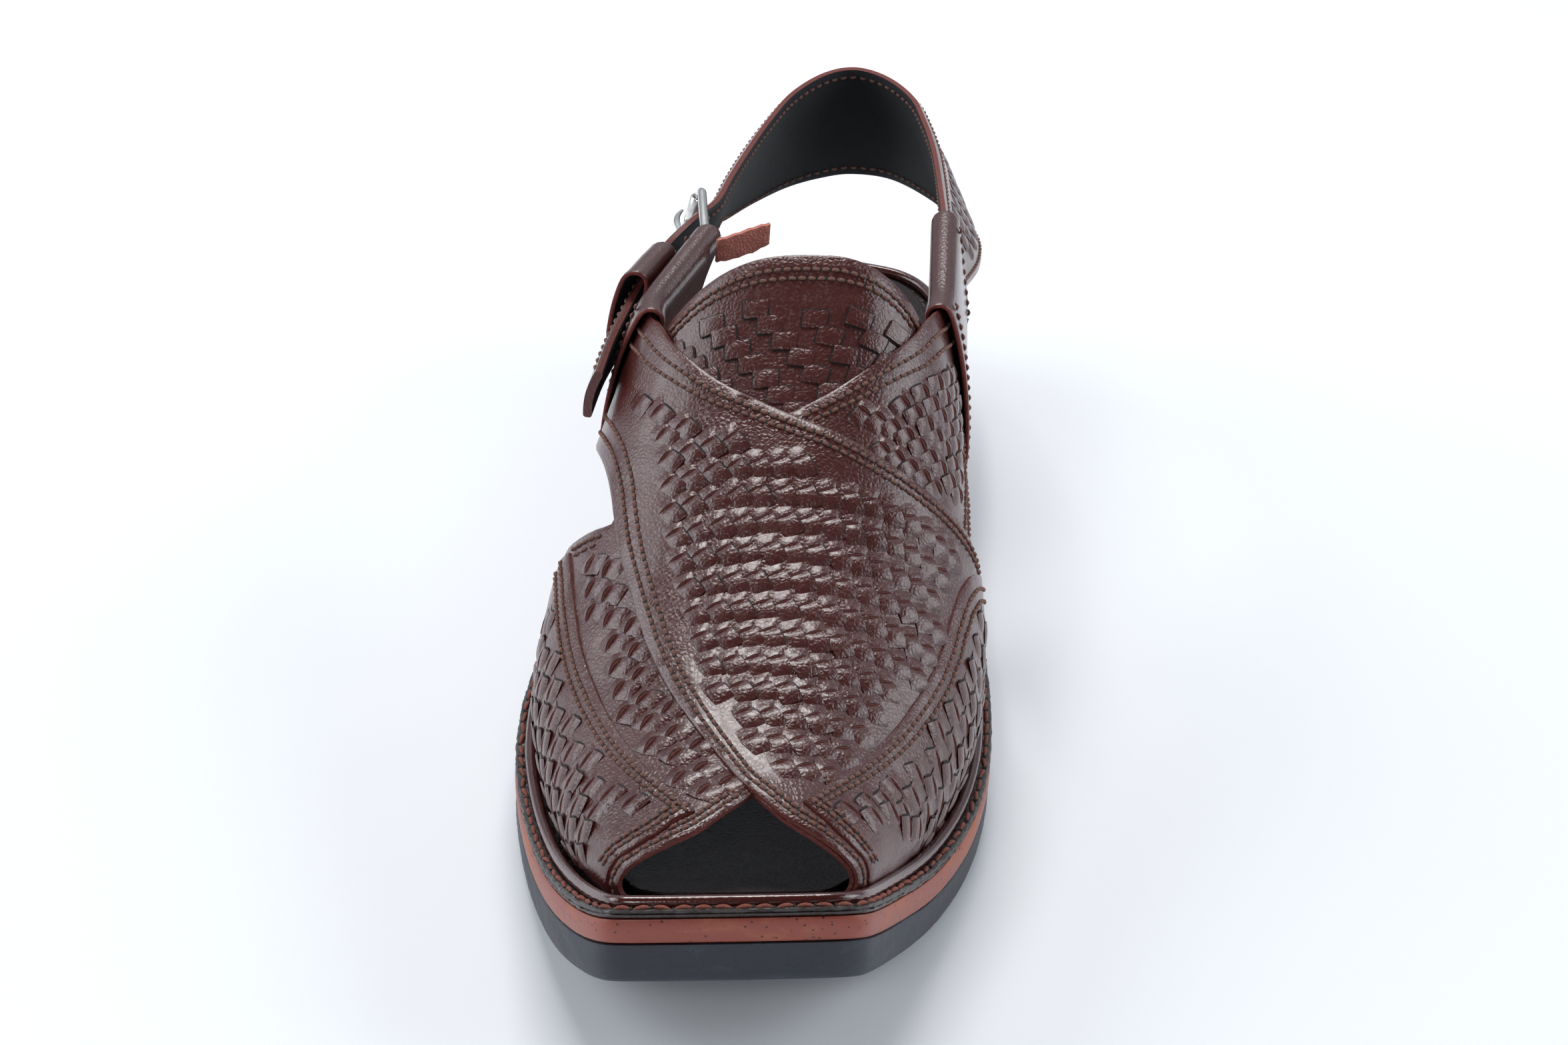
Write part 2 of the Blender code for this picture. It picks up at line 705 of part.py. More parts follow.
def sleeve_centre(side, q, v):
    """Middle surface of a sleeve: q from front to rear, v from top to bottom."""
    g = SLEEVES[side]
    s_f = g["s_f"]
    run = 7.0

    def front(s):
        z = g["top"] + (g["low"] - g["top"]) * v
        a = a_of_z(s, side, z)
        return Vector(last(s, a, g["off"]))
    rear = Vector(g["rear_top"]) * (1 - v) + Vector(g["rear_low"]) * v
    total = 150.0 - s_f
    total = rear[1] - total
    d = q * total
    if d <= run:
        return front(s_f - d)
    f0 = front(s_f - run)
    t = (d - run) / (total - run)
    p = f0.lerp(rear, t)
    return p


def sleeve_loop(side, q, shrink):
    nv = 6
    cs = [sleeve_centre(side, q, k / (nv - 1)) for k in range(nv)]
    out, inn = [], []
    hs = []
    for k in range(nv):
        v = k / (nv - 1)
        hs.append(3.75 - 0.4 * math.sin(math.pi * v) - 0.3 * v)
    dirs = []
    for k in range(nv):
        t = (cs[min(nv - 1, k + 1)] - cs[max(0, k - 1)]).normalized()
        nrm = Vector((0, -1, 0)).cross(t).normalized()
        if nrm.x * side < 0:
            nrm = -nrm
        dirs.append((t, nrm))
    loop = []
    for k in range(nv):
        loop.append(cs[k] + dirs[k][1] * (hs[k] - shrink))
    t, nrm = dirs[-1]
    for an in (45, 90, 135):
        r = hs[-1] - shrink
        loop.append(cs[-1] + nrm * r * math.cos(math.radians(an)) + t * r * math.sin(math.radians(an)))
    for k in reversed(range(nv)):
        loop.append(cs[k] - dirs[k][1] * (hs[k] - shrink))
    t, nrm = dirs[0]
    for an in (135, 90, 45):
        r = hs[0] - shrink
        loop.append(cs[0] + nrm * r * math.cos(math.radians(an)) - t * r * math.sin(math.radians(an)))
    return loop


def tube_wall(name, outer, inner, material_):
    """A tube of leather, open at both ends, from matching loops."""
    n, k = len(outer), len(outer[0])
    verts = [tuple(p) for row in outer for p in row] + [tuple(p) for row in inner for p in row]
    faces = grid_faces(n, k, False, True) + grid_faces(n, k, False, True, n * k, True)
    a = (n - 1) * k
    for j in range(k):
        j2 = (j + 1) % k
        faces.append((j, j2, n * k + j2, n * k + j))
        faces.append((a + j2, a + j, n * k + a + j, n * k + a + j2))
    return solid(name, verts, faces, material_)


def build_sleeve(name, side):
    qs = [0, 0.09, 0.18, 0.32, 0.48, 0.64, 0.8, 0.92, 1.0]
    outer = [sleeve_loop(side, q, 0.0) for q in qs]
    inner = [sleeve_loop(side, q, WALL) for q in qs]
    return tube_wall(name, outer, inner, LEATHER)


HEEL_TOP = [(30.2, 43.5, 96.6), (29.6, 50, 96), (28.3, 66, 94), (26.6, 86, 91), (24.8, 102, 89), (22, 117, 88),
            (18.2, 132, 87), (11, 143.5, 86.5), (2.5, 147.5, 86.7), (-5.6, 143.5, 86.5), (-13.4, 131.6, 86),
            (-18.5, 113, 86.5), (-22, 95, 87.5), (-24.6, 77, 89.3), (-26.6, 62, 90.6), (-30.9, 51.5, 91.2),
            (-36.4, 41, 89.2), (-38.9, 30, 87), (-41.2, 17, 84.8), (-42.8, 4, 83.5), (-43.6, -9, 82.3)]
HEEL_LOW = [(33.3, 43.5, 76.2), (33.6, 50, 75.8), (35.6, 63, 70.5), (38.4, 80, 66), (38.2, 97, 62.5), (33.5, 115, 59.5),
            (25.5, 131, 57.5), (14, 146, 55), (2.5, 149.5, 54), (-6.5, 146, 53.8), (-15, 139, 54), (-23, 126, 55.5),
            (-28.5, 106, 61), (-28.5, 84, 72.0), (-29.4, 63, 77.4), (-33.9, 51.5, 78.2), (-39.0, 41.5, 76.0),
            (-41.2, 30, 73.8), (-43.4, 17, 71.5), (-45.2, 4, 70.6), (-46.2, -9, 69.8)]


def catmull(pts, t):
    n = len(pts) - 1
    i = min(n - 1, int(t))
    u = t - i
    p1, p2 = Vector(pts[i]), Vector(pts[i + 1])
    p0 = Vector(pts[i - 1]) if i > 0 else p1 * 2 - p2
    p3 = Vector(pts[i + 2]) if i + 2 <= n else p2 * 2 - p1
    return 0.5 * ((p1 * 2) + (p2 - p0) * u + (p0 * 2 - p1 * 5 + p2 * 4 - p3) * u * u
                  + (p1 * 3 - p0 - p2 * 3 + p3) * u * u * u)


def wall_points(side):
    out = []
    for i in range(41):
        row = sleeve_loop(side, i / 40, 0.0)[:9]
        for p, q in zip(row, row[1:]):
            for u in (0.0, 0.2, 0.4, 0.6, 0.8):
                out.append(p.lerp(q, u))
    return out


OUTSIDE_L = wall_points(-1)


def sleeve_out(y, z):
    """How far out the left sleeve's outer wall stands at a height and a place along."""
    return min(OUTSIDE_L, key=lambda c: abs(c.y - y) + abs(c.z - z)).x


for row in (HEEL_TOP, HEEL_LOW):
    for i in range(16, 20):
        x, y, z = row[i]
        zz = z - 1.0 if row is HEEL_TOP else z + 1.0
        row[i] = (min(x, sleeve_out(y, zz) - (3.5, 4.1, 2.8, 2.1)[i - 16]), y, z)
    row[20] = (row[19][0] - 1.2, row[20][1], row[20][2])


def heel_mid(t, v):
    """Middle surface of the heel strap; v is 0 at its upper edge, 1 below."""
    a, b = catmull(HEEL_TOP, t), catmull(HEEL_LOW, t)
    p = a.lerp(b, v)
    back = math.exp(-((t - 8.0) / 3.2)**2)
    p = p + Vector((0, 1, 0)) * (math.sin(math.pi * v) * 2.2 * back)
    p.x -= 0.9 * math.sin(math.pi * v) * smooth((t - 15.0) / 1.5)
    return p


def heel_point(t, v, off):
    e = 0.05
    p = heel_mid(t, v)
    du = heel_mid(min(20, t + e), v) - heel_mid(max(0, t - e), v)
    dv = heel_mid(t, min(1, v + e)) - heel_mid(t, max(0, v - e))
    n = du.cross(dv).normalized()
    return p + n * off


def build_heel_strap():
    us = [i * 0.5 for i in range(41)]
    vs = [0, 0.14, 0.32, 0.5, 0.68, 0.86, 1.0]
    th = 1.05
    ref = heel_point(8, 0.5, 1.0) - heel_mid(8, 0.5)
    sg = 1.0 if ref.y > 0 else -1.0
    verts = []

    def relief(i, j):
        t = us[i]
        if 3.0 <= t <= 12.5 and 0 < j < 6:
            return 0.35 if (i + j) % 2 == 0 else 0.0
        return 0.0
    for i, t in enumerate(us):
        for j, v in enumerate(vs):
            verts.append(tuple(heel_point(t, v, sg * (th + relief(i, j)))))
    for t in us:
        for v in vs:
            verts.append(tuple(heel_point(t, v, -sg * th)))
    n, k = len(us), len(vs)
    m = n * k
    faces = grid_faces(n, k) + grid_faces(n, k, False, False, m, True)
    for i in range(n - 1):
        faces.append((i * k, (i + 1) * k, m + (i + 1) * k, m + i * k))
        a, b = i * k + k - 1, (i + 1) * k + k - 1
        faces.append((b, a, m + a, m + b))
    for j in range(k - 1):
        faces.append((j + 1, j, m + j, m + j + 1))
        a = (n - 1) * k
        faces.append((a + j, a + j + 1, m + a + j + 1, m + a + j))
    return solid("heel_strap", verts, faces, LEATHER)


def rod(name, pts, radius, material_, closed=False, k=8, squash=1.0):
    """A round bar along points."""
    pts = [Vector(p) for p in pts]
    n = len(pts)
    verts, faces = [], []
    prev = None
    radii = radius if isinstance(radius, (list, tuple)) else [radius] * n
    for i in range(n):
        if closed:
            t = (pts[(i + 1) % n] - pts[i - 1]).normalized()
        else:
            t = (pts[min(n - 1, i + 1)] - pts[max(0, i - 1)]).normalized()
        if prev is None:
            prev = t.cross(Vector((0.3, 0.2, 1.0))).normalized()
        side = (prev - t * prev.dot(t)).normalized()
        prev = side
        up = t.cross(side)
        for j in range(k):
            an = 2 * math.pi * j / k
            verts.append(tuple(pts[i] + side * math.cos(an) * radii[i] + up * math.sin(an) * radii[i] * squash))
    faces = grid_faces(n, k, closed, True)
    if not closed:
        faces.append(tuple(range(k))[::-1])
        faces.append(tuple((n - 1) * k + j for j in range(k)))
    return solid(name, verts, faces, material_)


ROLL_TOP, ROLL_LOW = Vector((-30.4, 61.0, 94.0)), Vector((-34.6, 61.0, 76.6))
BAR_TOP, BAR_LOW = Vector((-27.3, 39.5, 91.8)), Vector((-31.7, 39.5, 74.4))


def build_buckle():
    r = 1.1
    corners = [ROLL_TOP, ROLL_LOW, BAR_LOW, BAR_TOP]
    pts = []
    for i in range(4):
        p, q, s = corners[i - 1], corners[i], corners[(i + 1) % 4]
        a = q + (p - q).normalized() * 2.4
        b = q + (s - q).normalized() * 2.4
        for u in (0.0, 0.33, 0.67, 1.0):
            pts.append(a.lerp(q, u).lerp(q.lerp(b, u), u))
    # one straight run is split so the bar keeps its line
    rod("buckle_frame", pts, r, STEEL, closed=True, k=8)
    ax = (ROLL_LOW - ROLL_TOP).normalized()
    a, b = ROLL_TOP + ax * 2.7, ROLL_LOW - ax * 2.7
    k, ro, ri = 16, 2.05, 1.4
    side = ax.cross(Vector((0, 1, 0))).normalized()
    up = ax.cross(side)
    verts = []
    for p, rr in ((a, ri), (a, ro), (b, ro), (b, ri)):
        for j in range(k):
            an = 2 * math.pi * j / k
            verts.append(tuple(p + side * math.cos(an) * rr + up * math.sin(an) * rr))
    solid("buckle_roller", verts, grid_faces(4, k, True, True), STEEL)


# the keeper's band around the strap: how far outside the sleeve, and height
KEEPER = [(1.15, 72), (1.15, 76), (1.15, 80), (1.15, 84), (1.15, 88), (1.9, 90.6), (4.2, 91.5), (6.6, 90.6), (7.7, 88),
          (7.9, 84), (7.9, 80), (7.7, 76), (7.4, 73), (6.3, 70.4), (4.0, 69.6), (1.9, 70.1)]
KEEPER_WALL = 1.2


def keeper_loop(y, grow):
    c = [Vector((sleeve_out(y, min(88.0, max(73.0, z))) - u, y, z)) for u, z in KEEPER]
    out = []
    for i, p in enumerate(c):
        t = (c[(i + 1) % len(c)] - c[i - 1]).normalized()
        out.append(p + Vector((-t.z, 0, t.x)) * grow)
    return out


def build_keeper():
    ys = [22.0, 26.0, 30.0, 34.0, 37.5]
    h = KEEPER_WALL / 2
    return tube_wall("keeper", [keeper_loop(y, h) for y in ys], [keeper_loop(y, -h) for y in ys], LEATHER)


PRONG = [(-29.7, 41.2, 84.0), (-31.4, 46.5, 84.2), (-33.3, 51.5, 84.4), (-35.2, 56.5, 84.7), (-36.3, 60.0, 84.9),
         (-36.3, 63.0, 85.0), (-35.5, 65.6, 85.1)]


def build_prong():
    rod("buckle_prong", PRONG, [0.85, 0.85, 0.85, 0.85, 0.8, 0.65, 0.4], STEEL)
    cutter = rod("prong_hole", PRONG[:5], 1.35, STEEL)
    cutter.hide_render = True
    cutter.display_type = "WIRE"
    strap = bpy.data.objects["heel_strap"]
    cut = strap.modifiers.new("prong_hole", "BOOLEAN")
    cut.operation = "DIFFERENCE"
    cut.object = cutter


TAB = [((-24.0, 35.6, 94.2), (-24.4, 36.6, 87.6)), ((-20.0, 37.4, 95.0), (-20.4, 38.0, 88.2)),
       ((-15.6, 39.6, 96.0), (-16.0, 40.0, 89.2)), ((-12.0, 41.2, 96.6), (-12.2, 41.4, 91.0))]


def build_tab():
    """Raw suede end of the strip that holds the buckle."""
    verts = []
    n = len(TAB)
    for d in (-0.9, 0.9):
        for a, b in TAB:
            verts += [(a[0] + d * 0.45, a[1] - d * 0.9, a[2]), (b[0] + d * 0.45, b[1] - d * 0.9, b[2])]
    faces = grid_faces(n, 2) + grid_faces(n, 2, False, False, 2 * n, True)
    for i in range(n - 1):
        for j in (0, 1):
            a, b = 2 * i + j, 2 * i + 2 + j
            faces.append((a, b, b + 2 * n, a + 2 * n) if j == 0 else (b, a, a + 2 * n, b + 2 * n))
    faces += [(0, 1, 2 * n + 1, 2 * n), (2 * n - 1, 2 * n - 2, 4 * n - 2, 4 * n - 1)]
    solid("chape_tab", verts, faces, SUEDE)


def build():
    build_soles()
    build_bead()
    build_upper()
    build_tongue()
    build_sleeve("sleeve_l", -1)
    build_sleeve("sleeve_r", 1)
    build_heel_strap()
    build_buckle()
    build_prong()
    build_keeper()
    build_tab()


build()
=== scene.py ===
# %% [markdown]
# # A peshawari chappal: crossed woven straps on a black layered sole
# The solids of the sandal are already settled. Here every leather, thread, sole and metal surface gets
# the finish of the real thing. Each step first says what the piece is, then makes it.

# %% Load the fixed model
import math
import random

import bmesh
import bpy
from mathutils import Matrix, Vector
from mathutils.geometry import delaunay_2d_cdt


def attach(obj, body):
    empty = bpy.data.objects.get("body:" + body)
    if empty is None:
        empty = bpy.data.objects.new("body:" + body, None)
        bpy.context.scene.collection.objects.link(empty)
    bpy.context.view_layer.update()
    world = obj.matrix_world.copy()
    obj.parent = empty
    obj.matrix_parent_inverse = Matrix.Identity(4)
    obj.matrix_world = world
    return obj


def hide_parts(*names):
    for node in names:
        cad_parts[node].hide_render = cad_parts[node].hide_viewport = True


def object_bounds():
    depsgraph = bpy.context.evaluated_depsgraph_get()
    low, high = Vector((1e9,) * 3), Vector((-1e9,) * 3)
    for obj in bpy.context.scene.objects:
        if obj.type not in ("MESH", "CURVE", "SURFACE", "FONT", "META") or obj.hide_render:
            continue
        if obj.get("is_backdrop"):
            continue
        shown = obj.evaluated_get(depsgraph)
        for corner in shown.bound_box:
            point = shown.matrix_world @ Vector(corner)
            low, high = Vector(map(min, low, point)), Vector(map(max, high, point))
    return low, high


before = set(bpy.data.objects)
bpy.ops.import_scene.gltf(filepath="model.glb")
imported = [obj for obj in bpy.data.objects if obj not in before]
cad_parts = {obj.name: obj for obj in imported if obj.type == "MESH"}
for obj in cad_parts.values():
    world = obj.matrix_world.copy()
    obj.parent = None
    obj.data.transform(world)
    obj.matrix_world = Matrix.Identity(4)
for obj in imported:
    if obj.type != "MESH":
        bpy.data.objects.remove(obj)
cad_box = [list(c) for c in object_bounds()]
MM = 0.001
print("solids:", len(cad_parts))

# %% [markdown]
# ## The last
# A shoe is built over a last, a wooden foot. The same few measures that shape the solids shape it here:
# outsole length, ball width, instep height and heel height. Lengths are in millimetres; s runs from the
# heel (0) to the toe (300), and a runs over the instep from the left sole edge (-1) to the right one (1).

# %% Measures and curves of the last
LENGTH = 300.0
BALL = 108.0
INSTEP = 80.5
HEEL = 17.0
# shares of the plain size, for a wider, longer or higher last
KX = BALL / 108.0
KL = LENGTH / 300.0
KI = INSTEP / 80.5
# the feather line, where the upper meets the sole, lies this far in; the toe bows out by CROWN
FEATHER = 10.2
CROWN = 1.0
HEEL_HEIGHT_PLAIN = 17.0
SPRING_FROM, SPRING = 222.0, 26.5
MIDSOLE_AND_WELT = 9.0
BEAD_IN = 3.6
BEAD_R = 1.25


def curve(x, xs, ys):
    """Smooth monotone curve through the points xs, ys."""
    n = len(xs)
    if x <= xs[0]:
        return ys[0]
    if x >= xs[-1]:
        return ys[-1]
    i = 0
    while x > xs[i + 1]:
        i += 1

    def slope(j):
        return (ys[j + 1] - ys[j]) / (xs[j + 1] - xs[j])

    def tang(j):
        if j == 0:
            return slope(0)
        if j == n - 1:
            return slope(n - 2)
        a, b = slope(j - 1), slope(j)
        if a * b <= 0:
            return 0.0
        wa = 2 * (xs[j + 1] - xs[j]) + (xs[j] - xs[j - 1])
        wb = (xs[j + 1] - xs[j]) + 2 * (xs[j] - xs[j - 1])
        return (wa + wb) / (wa / a + wb / b)

    h = xs[i + 1] - xs[i]
    t = (x - xs[i]) / h
    m0, m1 = tang(i), tang(i + 1)
    return ((2 * t**3 - 3 * t * t + 1) * ys[i] + (t**3 - 2 * t * t + t) * h * m0
            + (-2 * t**3 + 3 * t * t) * ys[i + 1] + (t**3 - t * t) * h * m1)


S_L = [0, 3, 10, 25, 50, 80, 110, 145, 163, 188, 202, 218, 236, 266, 285, 296, 299, 300]
W_L = [0, 14, 24, 31.5, 36, 39, 42.5, 49.5, 54, 58, 59, 58, 54.5, 44.5, 35.5, 29, 26, 23]
S_R = [0, 3, 10, 25, 50, 80, 107, 121, 140, 164, 187, 203, 214, 229, 245, 262, 280, 294, 299, 300]
W_R = [0, 16, 26, 33, 36.5, 38, 38, 39, 41.8, 45.7, 48.8, 49.6, 49.2, 46.8, 42.6, 37.5, 31.5, 27, 24.5, 22]


def half(s, side):
    """Half width of the outsole at station s."""
    if side < 0:
        return curve(s, S_L, W_L) * KX
    return curve(s, S_R, W_R) * KX


def bottom(s):
    """Height of the outsole's underside: flat, then the toe springs up."""
    if s < SPRING_FROM:
        return 0.0
    return SPRING * ((s - SPRING_FROM) / (300.0 - SPRING_FROM))**2.1


def outsole_t(s):
    """Thickness of the black outsole."""
    t = curve(s, [0, 40, 100, 150, 210, 250, 280, 300], [17, 16.5, 15, 13.6, 9.2, 9.6, 10.5, 10.5])
    return t + (HEEL - HEEL_HEIGHT_PLAIN) * max(0.0, 1 - s / 210.0)


def sole_top(s):
    """Top of the outsole."""
    return bottom(s) + outsole_t(s)


def ztop(s):
    """Top of the welt."""
    return sole_top(s) + MIDSOLE_AND_WELT


def smooth(t):
    """An eased step from 0 to 1."""
    t = min(1.0, max(0.0, t))
    return t * t * (3 - 2 * t)


def warp(x, y):
    """Place a point of plan (x, 150 - s) in the shoe: skewed toe, length."""
    q = smooth((150.0 - y - 230.0) / 70.0)
    return x, (y + 0.15 * q * x) * KL


STATIONS = [0, 0.35, 1.4, 3.2, 5.8, 9.5, 14, 20, 28, 38, 50, 63, 77, 92, 107, 122, 137, 152, 166, 179,
            191, 202, 213, 223, 232, 241, 250, 259, 268, 276, 283, 289, 293.5, 296.5, 298.6, 300]


def half_outline(side, inset):
    """Plan points (x, s) from the heel centre to the toe centre on one side."""
    pts = [(side * half(s, side), s) for s in STATIONS]
    n = len(pts)
    keep = []
    for i, (x, s) in enumerate(pts):
        d = inset(s) if callable(inset) else inset
        front = 300.0 - CROWN - d
        if i == 0:
            nx, ns = 0.0, -1.0
        else:
            far = pts[i + 1] if i < n - 1 else (x, s + 1.0)
            ax, as_ = far[0] - pts[i - 1][0], far[1] - pts[i - 1][1]
            le = math.hypot(ax, as_)
            nx, ns = side * as_ / le, -side * ax / le
        p = (abs(x - nx * d), s - ns * d)
        if p[1] > front - 0.4:
            q = keep[-1]
            u = (front - q[1]) / max(1e-6, p[1] - q[1])
            keep.append((q[0] + (p[0] - q[0]) * u, front))
            break
        keep.append(p)
    else:
        keep.append((p[0] - 0.5, front))
    # the toe's edge: a shallow crown from the corner to the centre line
    x_end = keep[-1][0]
    rest = n + 4 - len(keep)
    for j in range(1, rest + 1):
        k = 1.0 - j / rest
        keep.append((x_end * k, front + CROWN * (1.0 - k * k)))
    return [(side * x, s) for x, s in keep]


FL = half_outline(-1, FEATHER)
FR = half_outline(1, FEATHER)


def feather(s, side):
    """Half width of the feather line at station s."""
    pts = FL if side < 0 else FR
    best = 0.0
    for (x0, s0), (x1, s1) in zip(pts, pts[1:]):
        if s1 - s0 > 1e-6 and s0 <= s <= s1:
            t = (s - s0) / (s1 - s0)
            best = max(best, abs(x0 + (x1 - x0) * t))
    return best


S_MAX = max(p[1] for p in FL + FR) - 0.05


def ridge_z(s):
    """Height of the last along its top."""
    z = curve(s, [100, 120, 145, 160, 176, 187, 200, 213, 230, 252, 264, 275, 285, 300],
              [146, 128, 110, 97.5, 86.5, 80.5, 73.5, 67.5, 61, 55, 53, 52, 51.5, 51.5])
    return 26.0 + (z - 26.0) * KI


def ridge_x(s):
    """Sideways place of the top line."""
    return curve(s, [120, 176, 210, 250, 300], [0, 0, -3.5, -3.5, -1])


def power(s):
    """How square the cross section is."""
    return curve(s, [120, 147, 176, 210, 250, 300], [3.0, 2.9, 2.6, 2.3, 2.3, 2.6])


def swell(s):
    """How far the sides bulge past the feather line."""
    return curve(s, [120, 145, 165, 185, 255, 285, 300], [5.5, 5.0, 5.0, 5.2, 4.5, 3.0, 2.0])


def last0(s, a):
    """A point of the last's surface."""
    side = -1 if a < 0 else 1
    ss = min(s, S_MAX)
    x0 = ridge_x(s)
    w = feather(ss, side) - side * x0
    zf = ztop(s) + 0.3
    h = ridge_z(s) - zf
    n = power(s)
    th = abs(a) * math.pi / 2
    c, sn = max(math.cos(th), 0.0), math.sin(th)
    r = (sn**n + c**n)**(-1.0 / n)
    t = min(1.0, max(c * r, 0.0))
    b = swell(s) * math.sin(math.pi * t**0.8)
    x = x0 + side * (w * sn * r + b)
    x, y = warp(x, 150.0 - s)
    return (x, y, zf + h * c * r)


def last_normal(s, a):
    """The direction straight out of the last."""
    e, d = 0.6, 0.012
    p0, p1 = last0(s, max(a - d, -1)), last0(s, min(a + d, 1))
    q0, q1 = last0(max(s - e, 101), a), last0(min(s + e, S_MAX), a)
    u = [p1[i] - p0[i] for i in range(3)]
    v = [q1[i] - q0[i] for i in range(3)]
    n = [v[1] * u[2] - v[2] * u[1], v[2] * u[0] - v[0] * u[2], v[0] * u[1] - v[1] * u[0]]
    le = math.sqrt(sum(c * c for c in n)) or 1.0
    n = [c / le for c in n]
    out = n[2] * math.cos(a * math.pi / 2) + n[0] * math.sin(a * math.pi / 2)
    return n if out > 0 else [-c for c in n]


def last(s, a, off=0.0):
    """A point at a distance off the last."""
    p, n = last0(s, a), last_normal(s, a)
    return (p[0] + n[0] * off, p[1] + n[1] * off, p[2] + n[2] * off)


# straps and bands: outlines in (a, s) on the last
TOP_UP = [(-0.545, 141.5), (-0.515, 146), (-0.47, 151), (-0.393, 159.6), (-0.248, 170.2), (-0.129, 174.8),
          (-0.03, 177.6), (0.06, 179.4), (0.134, 180.3), (0.266, 182.4), (0.392, 183.2), (0.486, 182.4),
          (0.58, 180.6), (0.68, 178.2), (0.80, 174.5), (0.90, 171), (1.0, 168)]
TOP_LOW = [(-0.80, 141.5), (-0.76, 150), (-0.69, 159), (-0.60, 169), (-0.53, 179), (-0.488, 188),
           (-0.464, 194.2), (-0.432, 202.4), (-0.37, 218.6), (-0.308, 236.5), (-0.195, 253),
           (-0.024, 268.4), (0.06, 272.3), (0.15, 276.3), (0.263, 280.5), (0.5, 285), (0.7, 287), (1.0, 288)]
UNDER_UP = [(0.565, 132), (0.535, 137.5), (0.48, 145), (0.411, 153.7), (0.269, 164.2), (0.131, 171.8),
            (0.0, 176.6)]
WING_LOW = [(0.81, 132), (0.80, 141), (0.775, 150), (0.75, 160), (0.725, 170), (0.70, 177.6)]
UNDER_REAR = [(-0.504, 193.2), (-0.622, 188.8), (-0.72, 184), (-0.85, 176.5), (-1.0, 168)]
TOE_L = [(-1.0, 288), (-0.7, 287.5), (-0.5, 287), (-0.239, 284), (-0.1, 279), (0.0, 275)]
BAND_L = [(-0.64, 190.8), (-0.577, 206), (-0.528, 228.1), (-0.456, 248.6), (-0.357, 264.3), (-0.212, 277.6),
          (-0.45, 283.4), (-0.7, 284.2), (-1.12, 284.5), (-1.12, 171), (-1.0, 172.6), (-0.85, 180.5),
          (-0.74, 186)]
BAND_R = [(0.72, 181.5), (0.64, 189), (0.585, 199.6), (0.57, 212.2), (0.538, 227.3), (0.491, 245),
          (0.412, 261), (0.292, 274.5), (0.5, 281.2), (0.7, 283), (1.12, 284), (1.12, 169), (1.0, 172.5),
          (0.83, 178.8)]
TONGUE = [(-0.585, 155), (-0.52, 151.5), (-0.42, 149), (-0.3, 147.3), (-0.15, 146), (0, 145.4), (0.15, 145),
          (0.3, 144.8), (0.42, 144.8), (0.52, 145.8), (0.585, 149), (0.60, 157), (0.575, 166), (0.52, 180),
          (0.42, 193), (0.3, 200), (0.0, 203), (-0.3, 200), (-0.42, 193), (-0.52, 180), (-0.575, 168),
          (-0.60, 161)]
# a plan of the last in millimetres: x is AX times a
AX = 58.0


def floor_of(x, y):
    """Top of the welt under a point of the shoe."""
    s = 150.0 - y
    for _ in range(4):
        s += warp(x, 150.0 - s)[1] - y
    return ztop(min(300.0, max(0.0, s)))


def place_last(p, off):
    """A point of the plan, set on the last and kept above the welt."""
    x, y, z = last(p[1], max(-1.0, min(1.0, p[0] / AX)), off)
    return x, y, max(z, floor_of(x, y) + 0.32)


def dom(pts):
    """Outline points (a, s) as plan points."""
    return [(a * AX, s) for a, s in pts]


def inside(p, poly):
    """Whether a closed outline holds the point."""
    x, y = p
    hit = False
    j = len(poly) - 1
    for i in range(len(poly)):
        xi, yi = poly[i]
        xj, yj = poly[j]
        if (yi > y) != (yj > y) and x < (xj - xi) * (y - yi) / (yj - yi) + xi:
            hit = not hit
        j = i
    return hit


def seg_dist(p, a, b):
    """Distance from a point to a straight piece."""
    dx, dy = b[0] - a[0], b[1] - a[1]
    le = dx * dx + dy * dy
    t = 0.0 if le == 0 else min(1.0, max(0.0, ((p[0] - a[0]) * dx + (p[1] - a[1]) * dy) / le))
    return math.hypot(p[0] - a[0] - t * dx, p[1] - a[1] - t * dy)


def line_dist(p, line, closed=True):
    """Distance from a point to a line."""
    n = len(line)
    return min(seg_dist(p, line[i], line[(i + 1) % n]) for i in range(n if closed else n - 1))


def signed(p, poly):
    """Distance to an outline, above zero inside it."""
    d = line_dist(p, poly)
    return d if inside(p, poly) else -d


def resample(line, step, closed=False):
    """The line with a point about every step."""
    pts = list(line) + ([line[0]] if closed else [])
    out = []
    for (x0, y0), (x1, y1) in zip(pts, pts[1:]):
        n = max(1, int(math.ceil(math.hypot(x1 - x0, y1 - y0) / step - 0.05)))
        for k in range(n):
            out.append((x0 + (x1 - x0) * k / n, y0 + (y1 - y0) * k / n))
    if not closed:
        out.append(pts[-1])
    return out


def rounded(line, times=2):
    """Corner-cutting that keeps the ends and sharp corners in place."""
    cut_share, sharp_cos = 0.25, 0.6
    for _ in range(times):
        out = [line[0]]
        for i in range(1, len(line) - 1):
            p, q, r = line[i - 1], line[i], line[i + 1]
            v1 = (q[0] - p[0], q[1] - p[1])
            v2 = (r[0] - q[0], r[1] - q[1])
            l1, l2 = math.hypot(*v1), math.hypot(*v2)
            if l1 < 1e-6 or l2 < 1e-6:
                continue
            cosv = (v1[0] * v2[0] + v1[1] * v2[1]) / (l1 * l2)
            if cosv < sharp_cos:
                out.append(q)
                continue
            out.append((q[0] - v1[0] * cut_share, q[1] - v1[1] * cut_share))
            out.append((q[0] + v2[0] * cut_share, q[1] + v2[1] * cut_share))
        out.append(line[-1])
        line = out
    return line


